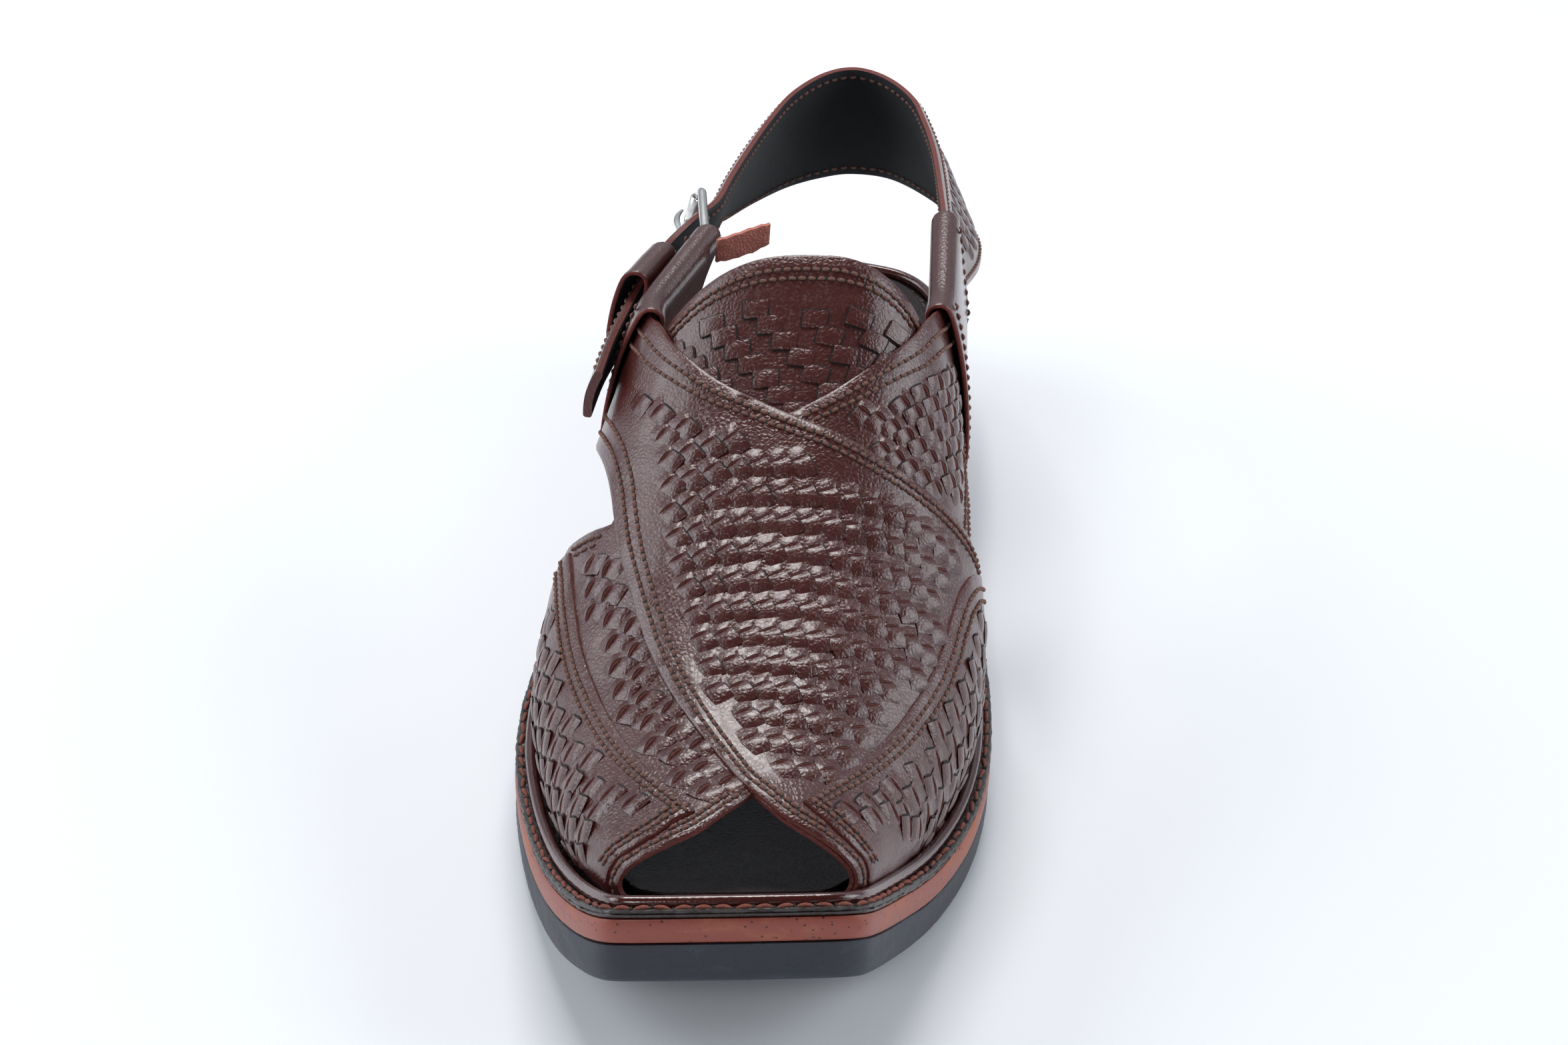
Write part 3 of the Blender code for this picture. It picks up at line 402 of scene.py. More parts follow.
# the whole upper seen as one sheet
UNION = (dom([(-1.0, 168)]) + resample(dom([(-1.0, 168), (-1.0, 288)]), 4)[1:-1]
         + rounded(dom(TOE_L)) + rounded(dom(TOP_LOW[12:]))
         + resample(dom([(1.0, 288), (1.0, 168)]), 4)[1:]
         + rounded(dom([(1.0, 168), (0.90, 171), (0.80, 174.5), (0.70, 177.6)]))[1:-1]
         + rounded(dom(WING_LOW[::-1])) + rounded(dom(UNDER_UP)) + rounded(dom(TOP_UP[:7]))[::-1]
         + rounded(dom(TOP_LOW[:7])) + rounded(dom(UNDER_REAR))[:-1])
UNION = resample(UNION, 3.6, True)
P_TOP = dom(TOP_UP) + dom([(1.12, 168), (1.12, 288)]) + dom(TOP_LOW[::-1])
P_BL = dom(BAND_L)
P_BR = dom(BAND_R)

# %% [markdown]
# ## Tools for leather
# A leather panel is a flat pattern laid on the last, so it is drawn in the plan of (a, s) and lifted to the
# last's surface. A constrained Delaunay triangulation fills any outline with even triangles. The same
# triangles make the outer and the inner face, and a wall between them is the cut edge of the hide.

# %% Panels of leather on the last
COLLECTION = bpy.context.scene.collection


def new_piece(name, verts, faces, material, marks=None):
    """A mesh object from points in millimetres; marks are face attributes."""
    mesh = bpy.data.meshes.new(name)
    mesh.from_pydata([tuple(c * MM for c in v) for v in verts], [], faces)
    for key, values in (marks or {}).items():
        layer = mesh.attributes.new(key, "FLOAT", "FACE")
        layer.data.foreach_set("value", values)
    mesh.materials.append(material)
    mesh.update()
    ob = bpy.data.objects.new(name, mesh)
    COLLECTION.objects.link(ob)
    return ob


def shade(ob, angle=38.0):
    """Smooth shading, with a sharp edge past an angle."""
    ob.data.shade_smooth()
    ob.data.set_sharp_from_angle(angle=math.radians(angle))


def outward(ob):
    """Turns every face of a closed mesh outwards."""
    bm = bmesh.new()
    bm.from_mesh(ob.data)
    bmesh.ops.recalc_face_normals(bm, faces=bm.faces)
    bm.to_mesh(ob.data)
    bm.free()


def inward_line(outline, d):
    """A closed outline moved d towards its inside."""
    n = len(outline)
    area = sum(outline[i][0] * outline[(i + 1) % n][1] - outline[(i + 1) % n][0] * outline[i][1]
               for i in range(n))
    sg = 1.0 if area > 0 else -1.0
    out = []
    for i in range(n):
        p, q = outline[i - 1], outline[(i + 1) % n]
        dx, dy = q[0] - p[0], q[1] - p[1]
        le = math.hypot(dx, dy) or 1.0
        out.append((outline[i][0] - dy / le * d * sg, outline[i][1] + dx / le * d * sg))
    return out


def wave(p):
    """Slow hand-made unevenness of a hide, in millimetres."""
    x, y = p
    return (0.10 * math.sin(0.31 * x + 0.4) * math.sin(0.27 * y + 1.1)
            + 0.06 * math.sin(0.74 * x + 0.19 * y) + 0.05 * math.sin(0.63 * y - 0.4 * x + 2.0))


SOFT_EDGE, EDGE_DROP = 0.45, 0.32
ROW_SHARE = 0.87


def panel(name, outline, outer, inner, step, material):
    """Leather cut to an outline: softened outer edge, flat inner face."""
    outline = resample(outline, step, True)
    n = len(outline)
    ring = [p for p in inward_line(outline, SOFT_EDGE) if inside(p, outline)]
    ring = [p for p in ring if line_dist(p, outline) > SOFT_EDGE * 0.6]
    xs, ys = [p[0] for p in outline], [p[1] for p in outline]
    rows = int((max(ys) - min(ys)) / (step * ROW_SHARE)) + 1
    cols = int((max(xs) - min(xs)) / step) + 2
    for i in range(rows):
        for j in range(cols):
            x = min(xs) + (j + (0.5 if i % 2 else 0.0)) * step
            p = (x, min(ys) + (i + 0.5) * step * ROW_SHARE)
            if inside(p, outline) and line_dist(p, outline) > step * 0.5 + SOFT_EDGE:
                ring.append(p)
    edges = [(i, (i + 1) % n) for i in range(n)]
    res = delaunay_2d_cdt([Vector(p) for p in outline + ring], edges, [list(range(n))], 0, 1e-5)
    flat, tris = [tuple(v) for v in res[0]], []
    for f in res[2]:
        c = (sum(flat[i][0] for i in f) / len(f), sum(flat[i][1] for i in f) / len(f))
        if inside(c, outline):
            tris.append(tuple(f))
    top, low = [], []
    for p in flat:
        rim = line_dist(p, outline) < SOFT_EDGE * 0.5
        lift = outer(p) + wave(p) * (0.3 if rim else 1.0)
        top.append(place_last(p, lift - (EDGE_DROP if rim else 0.0)))
        low.append(place_last(p, inner(p)))
    m = len(flat)
    faces = list(tris) + [tuple(i + m for i in f[::-1]) for f in tris]
    raw = [0.0] * 2 * len(tris)
    lining = [0.0] * len(tris) + [1.0] * len(tris)
    sides = {(f[i], f[(i + 1) % len(f)]): True for f in tris for i in range(len(f))}
    for a, b in sides:
        if (b, a) not in sides:
            faces.append((b, a, a + m, b + m))
            raw.append(0.5)
            lining.append(0.0)
    ob = new_piece(name, top + low, faces, material, {"raw": raw, "lining": lining})
    outward(ob)
    shade(ob)
    return ob


def tangents(p, off):
    """Point, tangents along x and heelward, and the outward normal."""
    e = 0.4
    tx = (Vector(place_last((p[0] + e, p[1]), off)) - Vector(place_last((p[0] - e, p[1]), off))) / (2 * e)
    ts = (Vector(place_last((p[0], p[1] - e), off)) - Vector(place_last((p[0], p[1] + e), off))) / (2 * e)
    return Vector(place_last(p, off)), tx, ts, tx.cross(ts).normalized()


print("outline points of the upper:", len(UNION))

# %% [markdown]
# ## Finishes
# Real leather is not one colour: the pores are darker, the dye pools in patches, and the gloss breaks up
# where it was creased. One node group makes that grain and is used in every leather with its own values.
# Cut edges show the red-dyed core of the hide, so a face attribute called raw picks them out.

# %% Node groups for grain and specks
def link_all(tree, pairs):
    """Joins each pair of sockets."""
    for a, b in pairs:
        tree.links.new(a, b)


def math_node(tree, kind, a, b):
    """One sum on numbers or sockets."""
    n = tree.nodes.new("ShaderNodeMath")
    n.operation = kind
    for i, v in enumerate((a, b)):
        if isinstance(v, (int, float)):
            n.inputs[i].default_value = v
        else:
            tree.links.new(v, n.inputs[i])
    return n.outputs[0]


def group_with(name, inputs, outputs):
    """An empty shader group; inputs carry a first value, and all sockets are plain numbers."""
    g = bpy.data.node_groups.new(name, "ShaderNodeTree")
    for label, value in inputs:
        s = g.interface.new_socket(label, in_out="INPUT", socket_type="NodeSocketFloat")
        s.default_value = value
    for label in outputs:
        g.interface.new_socket(label, in_out="OUTPUT", socket_type="NodeSocketFloat")
    return g, g.nodes.new("NodeGroupInput"), g.nodes.new("NodeGroupOutput")


def texture(tree, kind, where, scale, detail=None, roughness=None):
    """A texture node read at a vector; the scale is a number or a socket."""
    n = tree.nodes.new(kind)
    tree.links.new(where, n.inputs["Vector"])
    if isinstance(scale, float):
        n.inputs["Scale"].default_value = scale
    else:
        tree.links.new(scale, n.inputs["Scale"])
    if detail is not None:
        n.inputs["Detail"].default_value = detail
    if roughness is not None:
        n.inputs["Roughness"].default_value = roughness
    return n


NOISE, VORONOI = "ShaderNodeTexNoise", "ShaderNodeTexVoronoi"


def make_grain_group():
    """Pores, creases and dye patches. Outputs a height, a patch mask and a pore mask."""
    g, gi, go = group_with("leather_grain", [("Pore Scale", 900.0), ("Patch Scale", 45.0), ("Crease", 0.6)],
                           ["Height", "Patch", "Pore"])
    where = g.nodes.new("ShaderNodeTexCoord").outputs["Object"]
    bend = g.nodes.new("ShaderNodeVectorMath")
    bend.operation = "MULTIPLY_ADD"
    bend.inputs[1].default_value = (0.0012, 0.0012, 0.0012)
    g.links.new(texture(g, NOISE, where, 260.0, 3.0).outputs["Color"], bend.inputs[0])
    g.links.new(where, bend.inputs[2])
    pores = texture(g, VORONOI, bend.outputs[0], gi.outputs["Pore Scale"])
    pores.feature = "DISTANCE_TO_EDGE"
    patch = texture(g, NOISE, where, gi.outputs["Patch Scale"], 5.0, 0.62)
    crease = texture(g, NOISE, where, 420.0, 3.0, 0.65)
    pore = math_node(g, "MINIMUM", math_node(g, "MULTIPLY", pores.outputs["Distance"], 2.6), 1.0)
    fold = math_node(g, "MULTIPLY", crease.outputs["Fac"], gi.outputs["Crease"])
    link_all(g, [(math_node(g, "ADD", pore, fold), go.inputs["Height"]),
                 (patch.outputs["Fac"], go.inputs["Patch"]), (pore, go.inputs["Pore"])])
    return g


def make_speck_group():
    """Small specks and long scuffs, for rubber and crepe."""
    g, gi, go = group_with("specks_and_scuffs", [("Speck Scale", 700.0), ("Scuff Scale", 60.0)],
                           ["Speck", "Scuff", "Height"])
    where = g.nodes.new("ShaderNodeTexCoord").outputs["Object"]
    stretch = g.nodes.new("ShaderNodeMapping")
    stretch.inputs["Scale"].default_value = (1.0, 0.45, 2.2)
    g.links.new(where, stretch.inputs["Vector"])
    dots = texture(g, VORONOI, where, gi.outputs["Speck Scale"])
    cloud = texture(g, NOISE, stretch.outputs[0], gi.outputs["Scuff Scale"], 8.0, 0.7).outputs["Fac"]
    speck = math_node(g, "LESS_THAN", dots.outputs["Distance"], 0.17)
    scuff = math_node(g, "MULTIPLY", math_node(g, "SUBTRACT", cloud, 0.52), 6.0)
    scuff = math_node(g, "MAXIMUM", math_node(g, "MINIMUM", scuff, 1.0), 0.0)
    height = math_node(g, "SUBTRACT", cloud, math_node(g, "MULTIPLY", speck, 0.3))
    link_all(g, [(speck, go.inputs["Speck"]), (scuff, go.inputs["Scuff"]), (height, go.inputs["Height"])])
    return g


GRAIN = make_grain_group()
SPECKS = make_speck_group()


# %% Materials made from the groups
def mix_colour(tree, fac, a, b):
    """From colour a to colour b by fac; each may be a socket."""
    n = tree.nodes.new("ShaderNodeMix")
    n.data_type = "RGBA"
    for sock, v in ((n.inputs[0], fac), (n.inputs[6], a), (n.inputs[7], b)):
        if isinstance(v, bpy.types.NodeSocket):
            tree.links.new(v, sock)
        elif isinstance(v, tuple):
            sock.default_value = (*v, 1.0)
        else:
            sock.default_value = v
    return n.outputs[2]


def attribute(tree, name):
    """A face mark as a number."""
    n = tree.nodes.new("ShaderNodeAttribute")
    n.attribute_name = name
    return n.outputs["Fac"]


def start_material(name):
    """An empty material, its tree and its shader."""
    m = bpy.data.materials.new(name)
    m.use_nodes = True
    return m, m.node_tree, m.node_tree.nodes["Principled BSDF"]


def relief(tree, bsdf, height, strength, distance):
    """Fine relief under the light, from a height."""
    b = tree.nodes.new("ShaderNodeBump")
    b.inputs["Strength"].default_value = strength
    b.inputs["Distance"].default_value = distance
    tree.links.new(height, b.inputs["Height"])
    tree.links.new(b.outputs[0], bsdf.inputs["Normal"])


# the third colour is painted shade: near black for faces where a gap, a lip or a needle hole lies in shadow
RED_CORE, BLACK_LINING, PAINTED_GAP_SHADE = (0.20, 0.040, 0.028), (0.006, 0.007, 0.010), (0.006, 0.003, 0.003)


def leather(name, deep, light, rough=0.36, bump=0.25, pores=900.0, coat=0.25, raw=RED_CORE, spec=0.55):
    """Dyed leather. Face attributes pick out raw cut edges, the lining, and painted shade in gaps, under lips
    and in needle holes.
    """
    matte_rough = 0.8
    m, t, bsdf = start_material(name)
    g = t.nodes.new("ShaderNodeGroup")
    g.node_tree = GRAIN
    g.inputs["Pore Scale"].default_value = pores
    tone = mix_colour(t, g.outputs["Patch"], deep, light)
    in_pore = math_node(t, "MULTIPLY", math_node(t, "SUBTRACT", 1.0, g.outputs["Pore"]), 0.35)
    tone = mix_colour(t, in_pore, tone, deep)
    where = t.nodes.new("ShaderNodeTexCoord").outputs["Object"]
    fibre = texture(t, NOISE, where, 1400.0, 4.0).outputs["Fac"]
    raw_tone = mix_colour(t, fibre, tuple(c * 0.35 for c in raw), tuple(min(1, c * 1.5) for c in raw))
    is_raw, is_painted_shade, is_lining = attribute(t, "raw"), attribute(t, "painted_shade"), attribute(t, "lining")
    # the last pair paints shade near black on the faces marked for it
    for mask, colour in ((is_lining, BLACK_LINING), (is_raw, raw_tone), (is_painted_shade, PAINTED_GAP_SHADE)):
        tone = mix_colour(t, mask, tone, colour)
    t.links.new(tone, bsdf.inputs["Base Color"])
    matte = math_node(t, "MAXIMUM", math_node(t, "MAXIMUM", is_raw, is_painted_shade), is_lining)
    r = math_node(t, "ADD", math_node(t, "MULTIPLY", g.outputs["Patch"], 0.16), rough - 0.08)
    r = math_node(t, "ADD", r, math_node(t, "MULTIPLY", matte, matte_rough - rough))
    t.links.new(r, bsdf.inputs["Roughness"])
    shine = math_node(t, "MULTIPLY", math_node(t, "SUBTRACT", 1.0, matte), coat)
    t.links.new(shine, bsdf.inputs["Coat Weight"])
    bsdf.inputs["Coat Roughness"].default_value = 0.17
    bsdf.inputs["Specular IOR Level"].default_value = spec
    relief(t, bsdf, g.outputs["Height"], bump, 0.0002)
    return m


def rubber(name, base, light, speck, rough, speck_scale, scuff_scale, bump):
    """Rubber or crepe: scuffs lighten it and specks dot it."""
    m, t, bsdf = start_material(name)
    g = t.nodes.new("ShaderNodeGroup")
    g.node_tree = SPECKS
    g.inputs["Speck Scale"].default_value = speck_scale
    g.inputs["Scuff Scale"].default_value = scuff_scale
    tone = mix_colour(t, g.outputs["Scuff"], base, light)
    t.links.new(mix_colour(t, g.outputs["Speck"], tone, speck), bsdf.inputs["Base Color"])
    worn = math_node(t, "ADD", math_node(t, "MULTIPLY", g.outputs["Scuff"], 0.2), rough)
    t.links.new(worn, bsdf.inputs["Roughness"])
    relief(t, bsdf, g.outputs["Height"], bump, 0.0005)
    return m


def metal(name, tone, rough):
    """Plated steel with a faint unevenness in tone and polish."""
    m, t, bsdf = start_material(name)
    cloud = texture(t, NOISE, t.nodes.new("ShaderNodeTexCoord").outputs["Object"], 420.0, 6.0).outputs["Fac"]
    t.links.new(mix_colour(t, cloud, tuple(c * 0.8 for c in tone), tone), bsdf.inputs["Base Color"])
    polish = math_node(t, "ADD", math_node(t, "MULTIPLY", cloud, 0.14), rough)
    t.links.new(polish, bsdf.inputs["Roughness"])
    bsdf.inputs["Metallic"].default_value = 1.0
    return m


UPPER = leather("upper_leather", (0.042, 0.0062, 0.0052), (0.088, 0.0175, 0.0142), rough=0.33, bump=0.45,
                coat=0.4)
PLAIN = leather("sleeve_leather", (0.040, 0.0085, 0.0075), (0.088, 0.024, 0.021), rough=0.34, bump=0.3,
                coat=0.5, raw=(0.16, 0.026, 0.018))
BEAD = leather("bead_leather", (0.034, 0.005, 0.004), (0.085, 0.013, 0.009), rough=0.22, bump=0.15, coat=0.7)
INSOLE = leather("insole_leather", (0.009, 0.0045, 0.0045), (0.026, 0.010, 0.0095), rough=0.42, bump=0.5,
                 pores=620.0, coat=0.0, spec=0.3)
SUEDE = leather("raw_suede", (0.36, 0.10, 0.075), (0.62, 0.24, 0.19), rough=0.85, bump=0.9, coat=0.0)
WELT = leather("welt_leather", (0.010, 0.008, 0.008), (0.035, 0.016, 0.013), rough=0.42, bump=0.9,
               pores=420.0)
THREAD = leather("thread_brown", (0.13, 0.052, 0.036), (0.28, 0.13, 0.095), rough=0.6, bump=0.8,
                 pores=2600.0, coat=0.0)
THREAD_RED = leather("thread_orange", (0.15, 0.035, 0.022), (0.36, 0.10, 0.06), rough=0.7, bump=0.8,
                     pores=2600.0, coat=0.0)
OUTSOLE = rubber("outsole_rubber", base=(0.014, 0.017, 0.026), light=(0.042, 0.050, 0.068),
                 speck=(0.006, 0.006, 0.008), rough=0.5, speck_scale=900.0, scuff_scale=70.0, bump=0.5)
MIDSOLE = rubber("midsole_brick", base=(0.26, 0.055, 0.034), light=(0.40, 0.125, 0.055),
                 speck=(0.06, 0.014, 0.012), rough=0.4, speck_scale=560.0, scuff_scale=38.0, bump=0.3)
NICKEL = metal("nickel_plate", (0.78, 0.77, 0.74), 0.14)
print("materials:", len(bpy.data.materials))

# %% [markdown]
# ## The sole
# Four layers are stacked and trimmed together: a black rubber outsole, a brick-coloured midsole, a black
# welt with a row of stitches, and a rolled leather bead that hides the foot of the upper. Every layer is
# the same outline moved in by a few tenths of a millimetre, so one function makes them all.

# %% Layers of the sole
TOE_ROUND, ROUND_FROM, ROUND_SIDE = 34, 280.0, 6.0


def fine_half(side, inset):
    """The half outline with close points and its toe corner rounded."""
    pts = [(abs(x), s) for x, s in half_outline(side, inset)]
    pts = resample(rounded(pts, 3), 1.5)
    for _ in range(TOE_ROUND):
        mid = [((p[0] + q[0] + r[0]) / 3, (p[1] + q[1] + r[1]) / 3) for p, q, r in zip(pts, pts[1:], pts[2:])]
        pts[1:-1] = [m if m[1] > ROUND_FROM and m[0] > ROUND_SIDE else p for m, p in zip(mid, pts[1:-1])]
    return [(side * x, s) for x, s in pts]


def side_path(side, inset, height, step):
    """One side of a loop around the sole, heel to toe, as points in the shoe."""
    pts = []
    for x, s in resample(fine_half(side, inset), step):
        px, py = warp(x, 150.0 - s)
        pts.append(Vector((px, py, height(min(300.0, max(0.0, s))))))
    return pts


def even(pts, n):
    """The same polyline with exactly n points."""
    d = [0.0]
    for p, q in zip(pts, pts[1:]):
        d.append(d[-1] + (p - q).length)
    out, j = [], 0
    for i in range(n):
        t = d[-1] * i / (n - 1)
        while j < len(pts) - 2 and d[j + 1] < t:
            j += 1
        u = (t - d[j]) / max(1e-9, d[j + 1] - d[j])
        out.append(pts[j].lerp(pts[j + 1], min(1.0, u)))
    return out


def sole_layer(name, rings, material, rough=0.0, seed=1):
    """A layer from its rings, low to high; a ring is an inset and a height function."""
    rnd = random.Random(seed)
    loops = [[side_path(side, inset, height, 3.0) for side in (-1, 1)] for inset, height in rings]
    m = max(len(line) for loop in loops for line in loop)
    count = 2 * m - 2
    verts, faces = [], []
    for loop in loops:
        left, right = even(loop[0], m), even(loop[1], m)
        for p in left + right[::-1][1:-1]:
            j = rnd.uniform(-rough, rough)
            verts.append((p.x + j * (1 if p.x > 0 else -1), p.y, p.z))
    for k in range(len(rings) - 1):
        for i in range(count):
            a, b = k * count + i, k * count + (i + 1) % count
            faces.append((a, b, b + count, a + count))
    for base in (0, (len(rings) - 1) * count):
        for i in range(m - 1):
            across = [base + i, base + i + 1, base + (count - i - 1) % count, base + (count - i) % count]
            across = list(dict.fromkeys(across))
            faces.append(tuple(across if base else across[::-1]))
    ob = new_piece(name, verts, faces, material)
    outward(ob)
    shade(ob, 48)
    return ob


def rising(z, extra):
    """The same height function, a little higher."""
    return lambda s: z(s) + extra


outsole = sole_layer("outsole_fine", [
    (2.4, bottom), (1.4, rising(bottom, 0.25)), (0.7, rising(bottom, 1.0)), (0.3, rising(bottom, 2.2)),
    (0.1, rising(bottom, 4.2)), (0.25, rising(sole_top, -1.4)), (0.35, rising(sole_top, -0.5)),
    (0.8, rising(sole_top, -0.12))], OUTSOLE, 0.05, 3)
midsole = sole_layer("midsole_fine", [
    (0.8, rising(sole_top, 0.06)), (0.25, rising(sole_top, 0.3)), (0.1, rising(sole_top, 1.2)),
    (0.0, rising(sole_top, 3.4)), (0.1, rising(sole_top, 5.6)), (0.5, rising(sole_top, 6.3)),
    (1.2, rising(sole_top, 6.45))], MIDSOLE, 0.03, 5)
welt = sole_layer("welt_fine", [
    (0.9, rising(sole_top, 6.6)), (0.35, rising(sole_top, 6.85)), (0.2, rising(sole_top, 7.5)),
    (0.45, rising(sole_top, 7.75)), (0.15, rising(sole_top, 8.1)), (0.3, rising(sole_top, 8.6)),
    (0.9, rising(sole_top, 8.95)), (3.0, rising(sole_top, 9.0))], WELT, 0.16, 7)


def insole_in(s):
    """How far the footbed lies in from the edge; more where the upper comes down."""
    return 7.4 + 4.4 * smooth((s - 152) / 14.0)


def insole_edge(extra):
    """The footbed's edge, a little further in."""
    return rising(insole_in, extra)


insole = sole_layer("insole_fine", [
    (insole_edge(0.0), rising(ztop, 0.15)), (insole_edge(0.05), rising(ztop, 1.5)),
    (insole_edge(0.35), rising(ztop, 1.95)), (insole_edge(1.0), rising(ztop, 2.1))], INSOLE)
for piece, node, kind in ((outsole, "outsole", "outsole_rubber"), (midsole, "midsole", "midsole_brick"),
                          (welt, "welt", "welt_black"), (insole, "insole", "insole_leather")):
    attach(piece, "root")
    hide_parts(node)
print("sole layers:", [len(o.data.polygons) for o in (outsole, midsole, welt, insole)])

# %% The rolled bead around the foot of the upper
def loop_path(inset, height, step=3.0):
    """A closed path around the sole at an inset."""
    left, right = (side_path(side, inset, height, step) for side in (-1, 1))
    return left + right[::-1][1:-1]


def tube(name, pts, radius, material, closed=True, k=10, squash=1.0):
    """A round bar swept along points; radius may be a list."""
    pts = [Vector(p) for p in pts]
    n = len(pts)
    radii = radius if isinstance(radius, list) else [radius] * n
    verts, prev = [], None
    for i in range(n):
        if closed:
            t = (pts[(i + 1) % n] - pts[i - 1]).normalized()
        else:
            t = (pts[min(n - 1, i + 1)] - pts[max(0, i - 1)]).normalized()
        if prev is None:
            prev = t.cross(Vector((0.1, 0.05, 1.0))).normalized()
        side = (prev - t * prev.dot(t)).normalized()
        prev = side
        up = t.cross(side)
        for j in range(k):
            an = 2 * math.pi * j / k
            verts.append(pts[i] + side * math.cos(an) * radii[i] + up * math.sin(an) * radii[i] * squash)
    faces = []
    for i in range(n if closed else n - 1):
        for j in range(k):
            a, b = i * k + j, i * k + (j + 1) % k
            c, d = ((i + 1) % n) * k + (j + 1) % k, ((i + 1) % n) * k + j
            faces.append((a, b, c, d))
    if not closed:
        faces.append(tuple(range(k))[::-1])
        faces.append(tuple((n - 1) * k + j for j in range(k)))
    ob = new_piece(name, verts, faces, material)
    outward(ob)
    shade(ob, 60)
    return ob


bead = tube("bead_fine", loop_path(BEAD_IN, rising(ztop, 0.15 + BEAD_R)), BEAD_R + 0.12, BEAD, k=12)
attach(bead, "root")
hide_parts("rand_bead")
print("bead faces:", len(bead.data.polygons))

# %% [markdown]
# ## The upper
# Two wide straps cross over the foot, and a band is stitched along each side of the toe. Each is its own
# panel at its own height over the last, so a step shows wherever one lies on another, as in the real shoe.

# %% Straps, side bands and tongue
UNDER_OFF, OVER_OFF = 1.5, 2.55
BAND_L_OFF, BAND_R_OFF = UNDER_OFF + 0.85, OVER_OFF + 0.75
TONGUE_OFF, TONGUE_UNDER = -0.35, -0.7
LAST_GAP, SHEET_STEP = 0.25, 2.4
T_UP_LINE, T_LOW_LINE = rounded(dom(TOP_UP)), rounded(dom(TOP_LOW))
T_LINE = T_UP_LINE + resample(dom([(1.0, 168), (1.0, 288)]), 4)[1:-1] + rounded(dom(TOP_LOW[::-1]))


def band_line(band):
    """A side band's outline, kept on the last."""
    return rounded(dom([(max(-1.0, min(1.0, a)), s) for a, s in band]))


def tongue_top(p):
    """The tongue dips where the straps lie over it."""
    return TONGUE_OFF if not inside(p, UNION) else TONGUE_UNDER


BAND_L_LINE, BAND_R_LINE = band_line(BAND_L), band_line(BAND_R)
tongue_line = rounded(dom(TONGUE) + dom(TONGUE[:1]))[:-1]
under = panel("strap_under", UNION, lambda p: UNDER_OFF, lambda p: LAST_GAP, SHEET_STEP, UPPER)
over = panel("strap_over", T_LINE, lambda p: OVER_OFF, lambda p: UNDER_OFF - 0.05, SHEET_STEP, UPPER)
band_l = panel("band_left", BAND_L_LINE, lambda p: BAND_L_OFF, lambda p: UNDER_OFF - 0.1, SHEET_STEP, UPPER)
band_r = panel("band_right", BAND_R_LINE, lambda p: BAND_R_OFF, lambda p: OVER_OFF - 0.15, SHEET_STEP, UPPER)
tongue = panel("tongue_fine", tongue_line, tongue_top, lambda p: -2.0, 2.6, UPPER)
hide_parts("upper")
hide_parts("upper")
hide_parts("tongue")
for piece in (under, over, band_l, band_r, tongue):
    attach(piece, "root")
print("upper faces:", sum(len(o.data.polygons) for o in (under, over, band_l, band_r, tongue)))

# %% [markdown]
# ## Woven strips
# The weave is cut leather: a strip comes up through a slit, lies over the surface and goes down again, so
# each crossing shows a red cut edge, a raised flap and a gap beside it; the gap's shade and the shade under
# the slit's lip are painted near black. One such crossing is modelled once. Geometry Nodes set a copy at
# every crossing, turned and sized by what its point carries.

# %% One crossing of the weave
CELL_W, CELL_H = 4.9, 7.6


class Patch:
    """Gathers small grids of faces, each with its marks, into one piece."""

    def __init__(self, mirror=1.0):
        self.mirror = mirror
        # the last list of marks is painted shade, one value a face
        self.verts, self.faces, self.raw, self.painted_shade = [], [], [], []

    def grid(self, fn, nt, nr, toward, raw=0.0, painted_shade=0.0):
        """fn(t, r) gives a point; toward is the side the faces must look to."""
        base = len(self.verts)
        for i in range(nr + 1):
            for j in range(nt + 1):
                x, y, z = fn(j / nt, i / nr)
                self.verts.append((x * self.mirror, y, z))
        toward = Vector((toward[0] * self.mirror, toward[1], toward[2]))
        for i in range(nr):
            for j in range(nt):
                p = base + i * (nt + 1) + j
                f = (p, p + 1, p + nt + 2, p + nt + 1)
                a, b, c = (Vector(self.verts[k]) for k in f[:3])
                d = Vector(self.verts[f[3]])
                if (c - a).cross(d - b).dot(toward) < 0:
                    f = f[::-1]
                self.faces.append(f)
                self.raw.append(raw(i, j) if callable(raw) else raw)
                self.painted_shade.append(painted_shade(i, j) if callable(painted_shade) else painted_shade)

    def build(self, name, material):
        """The finished piece."""
        ob = new_piece(name, self.verts, self.faces, material, {"raw": self.raw, "painted_shade": self.painted_shade})
        shade(ob, 50)
        return ob


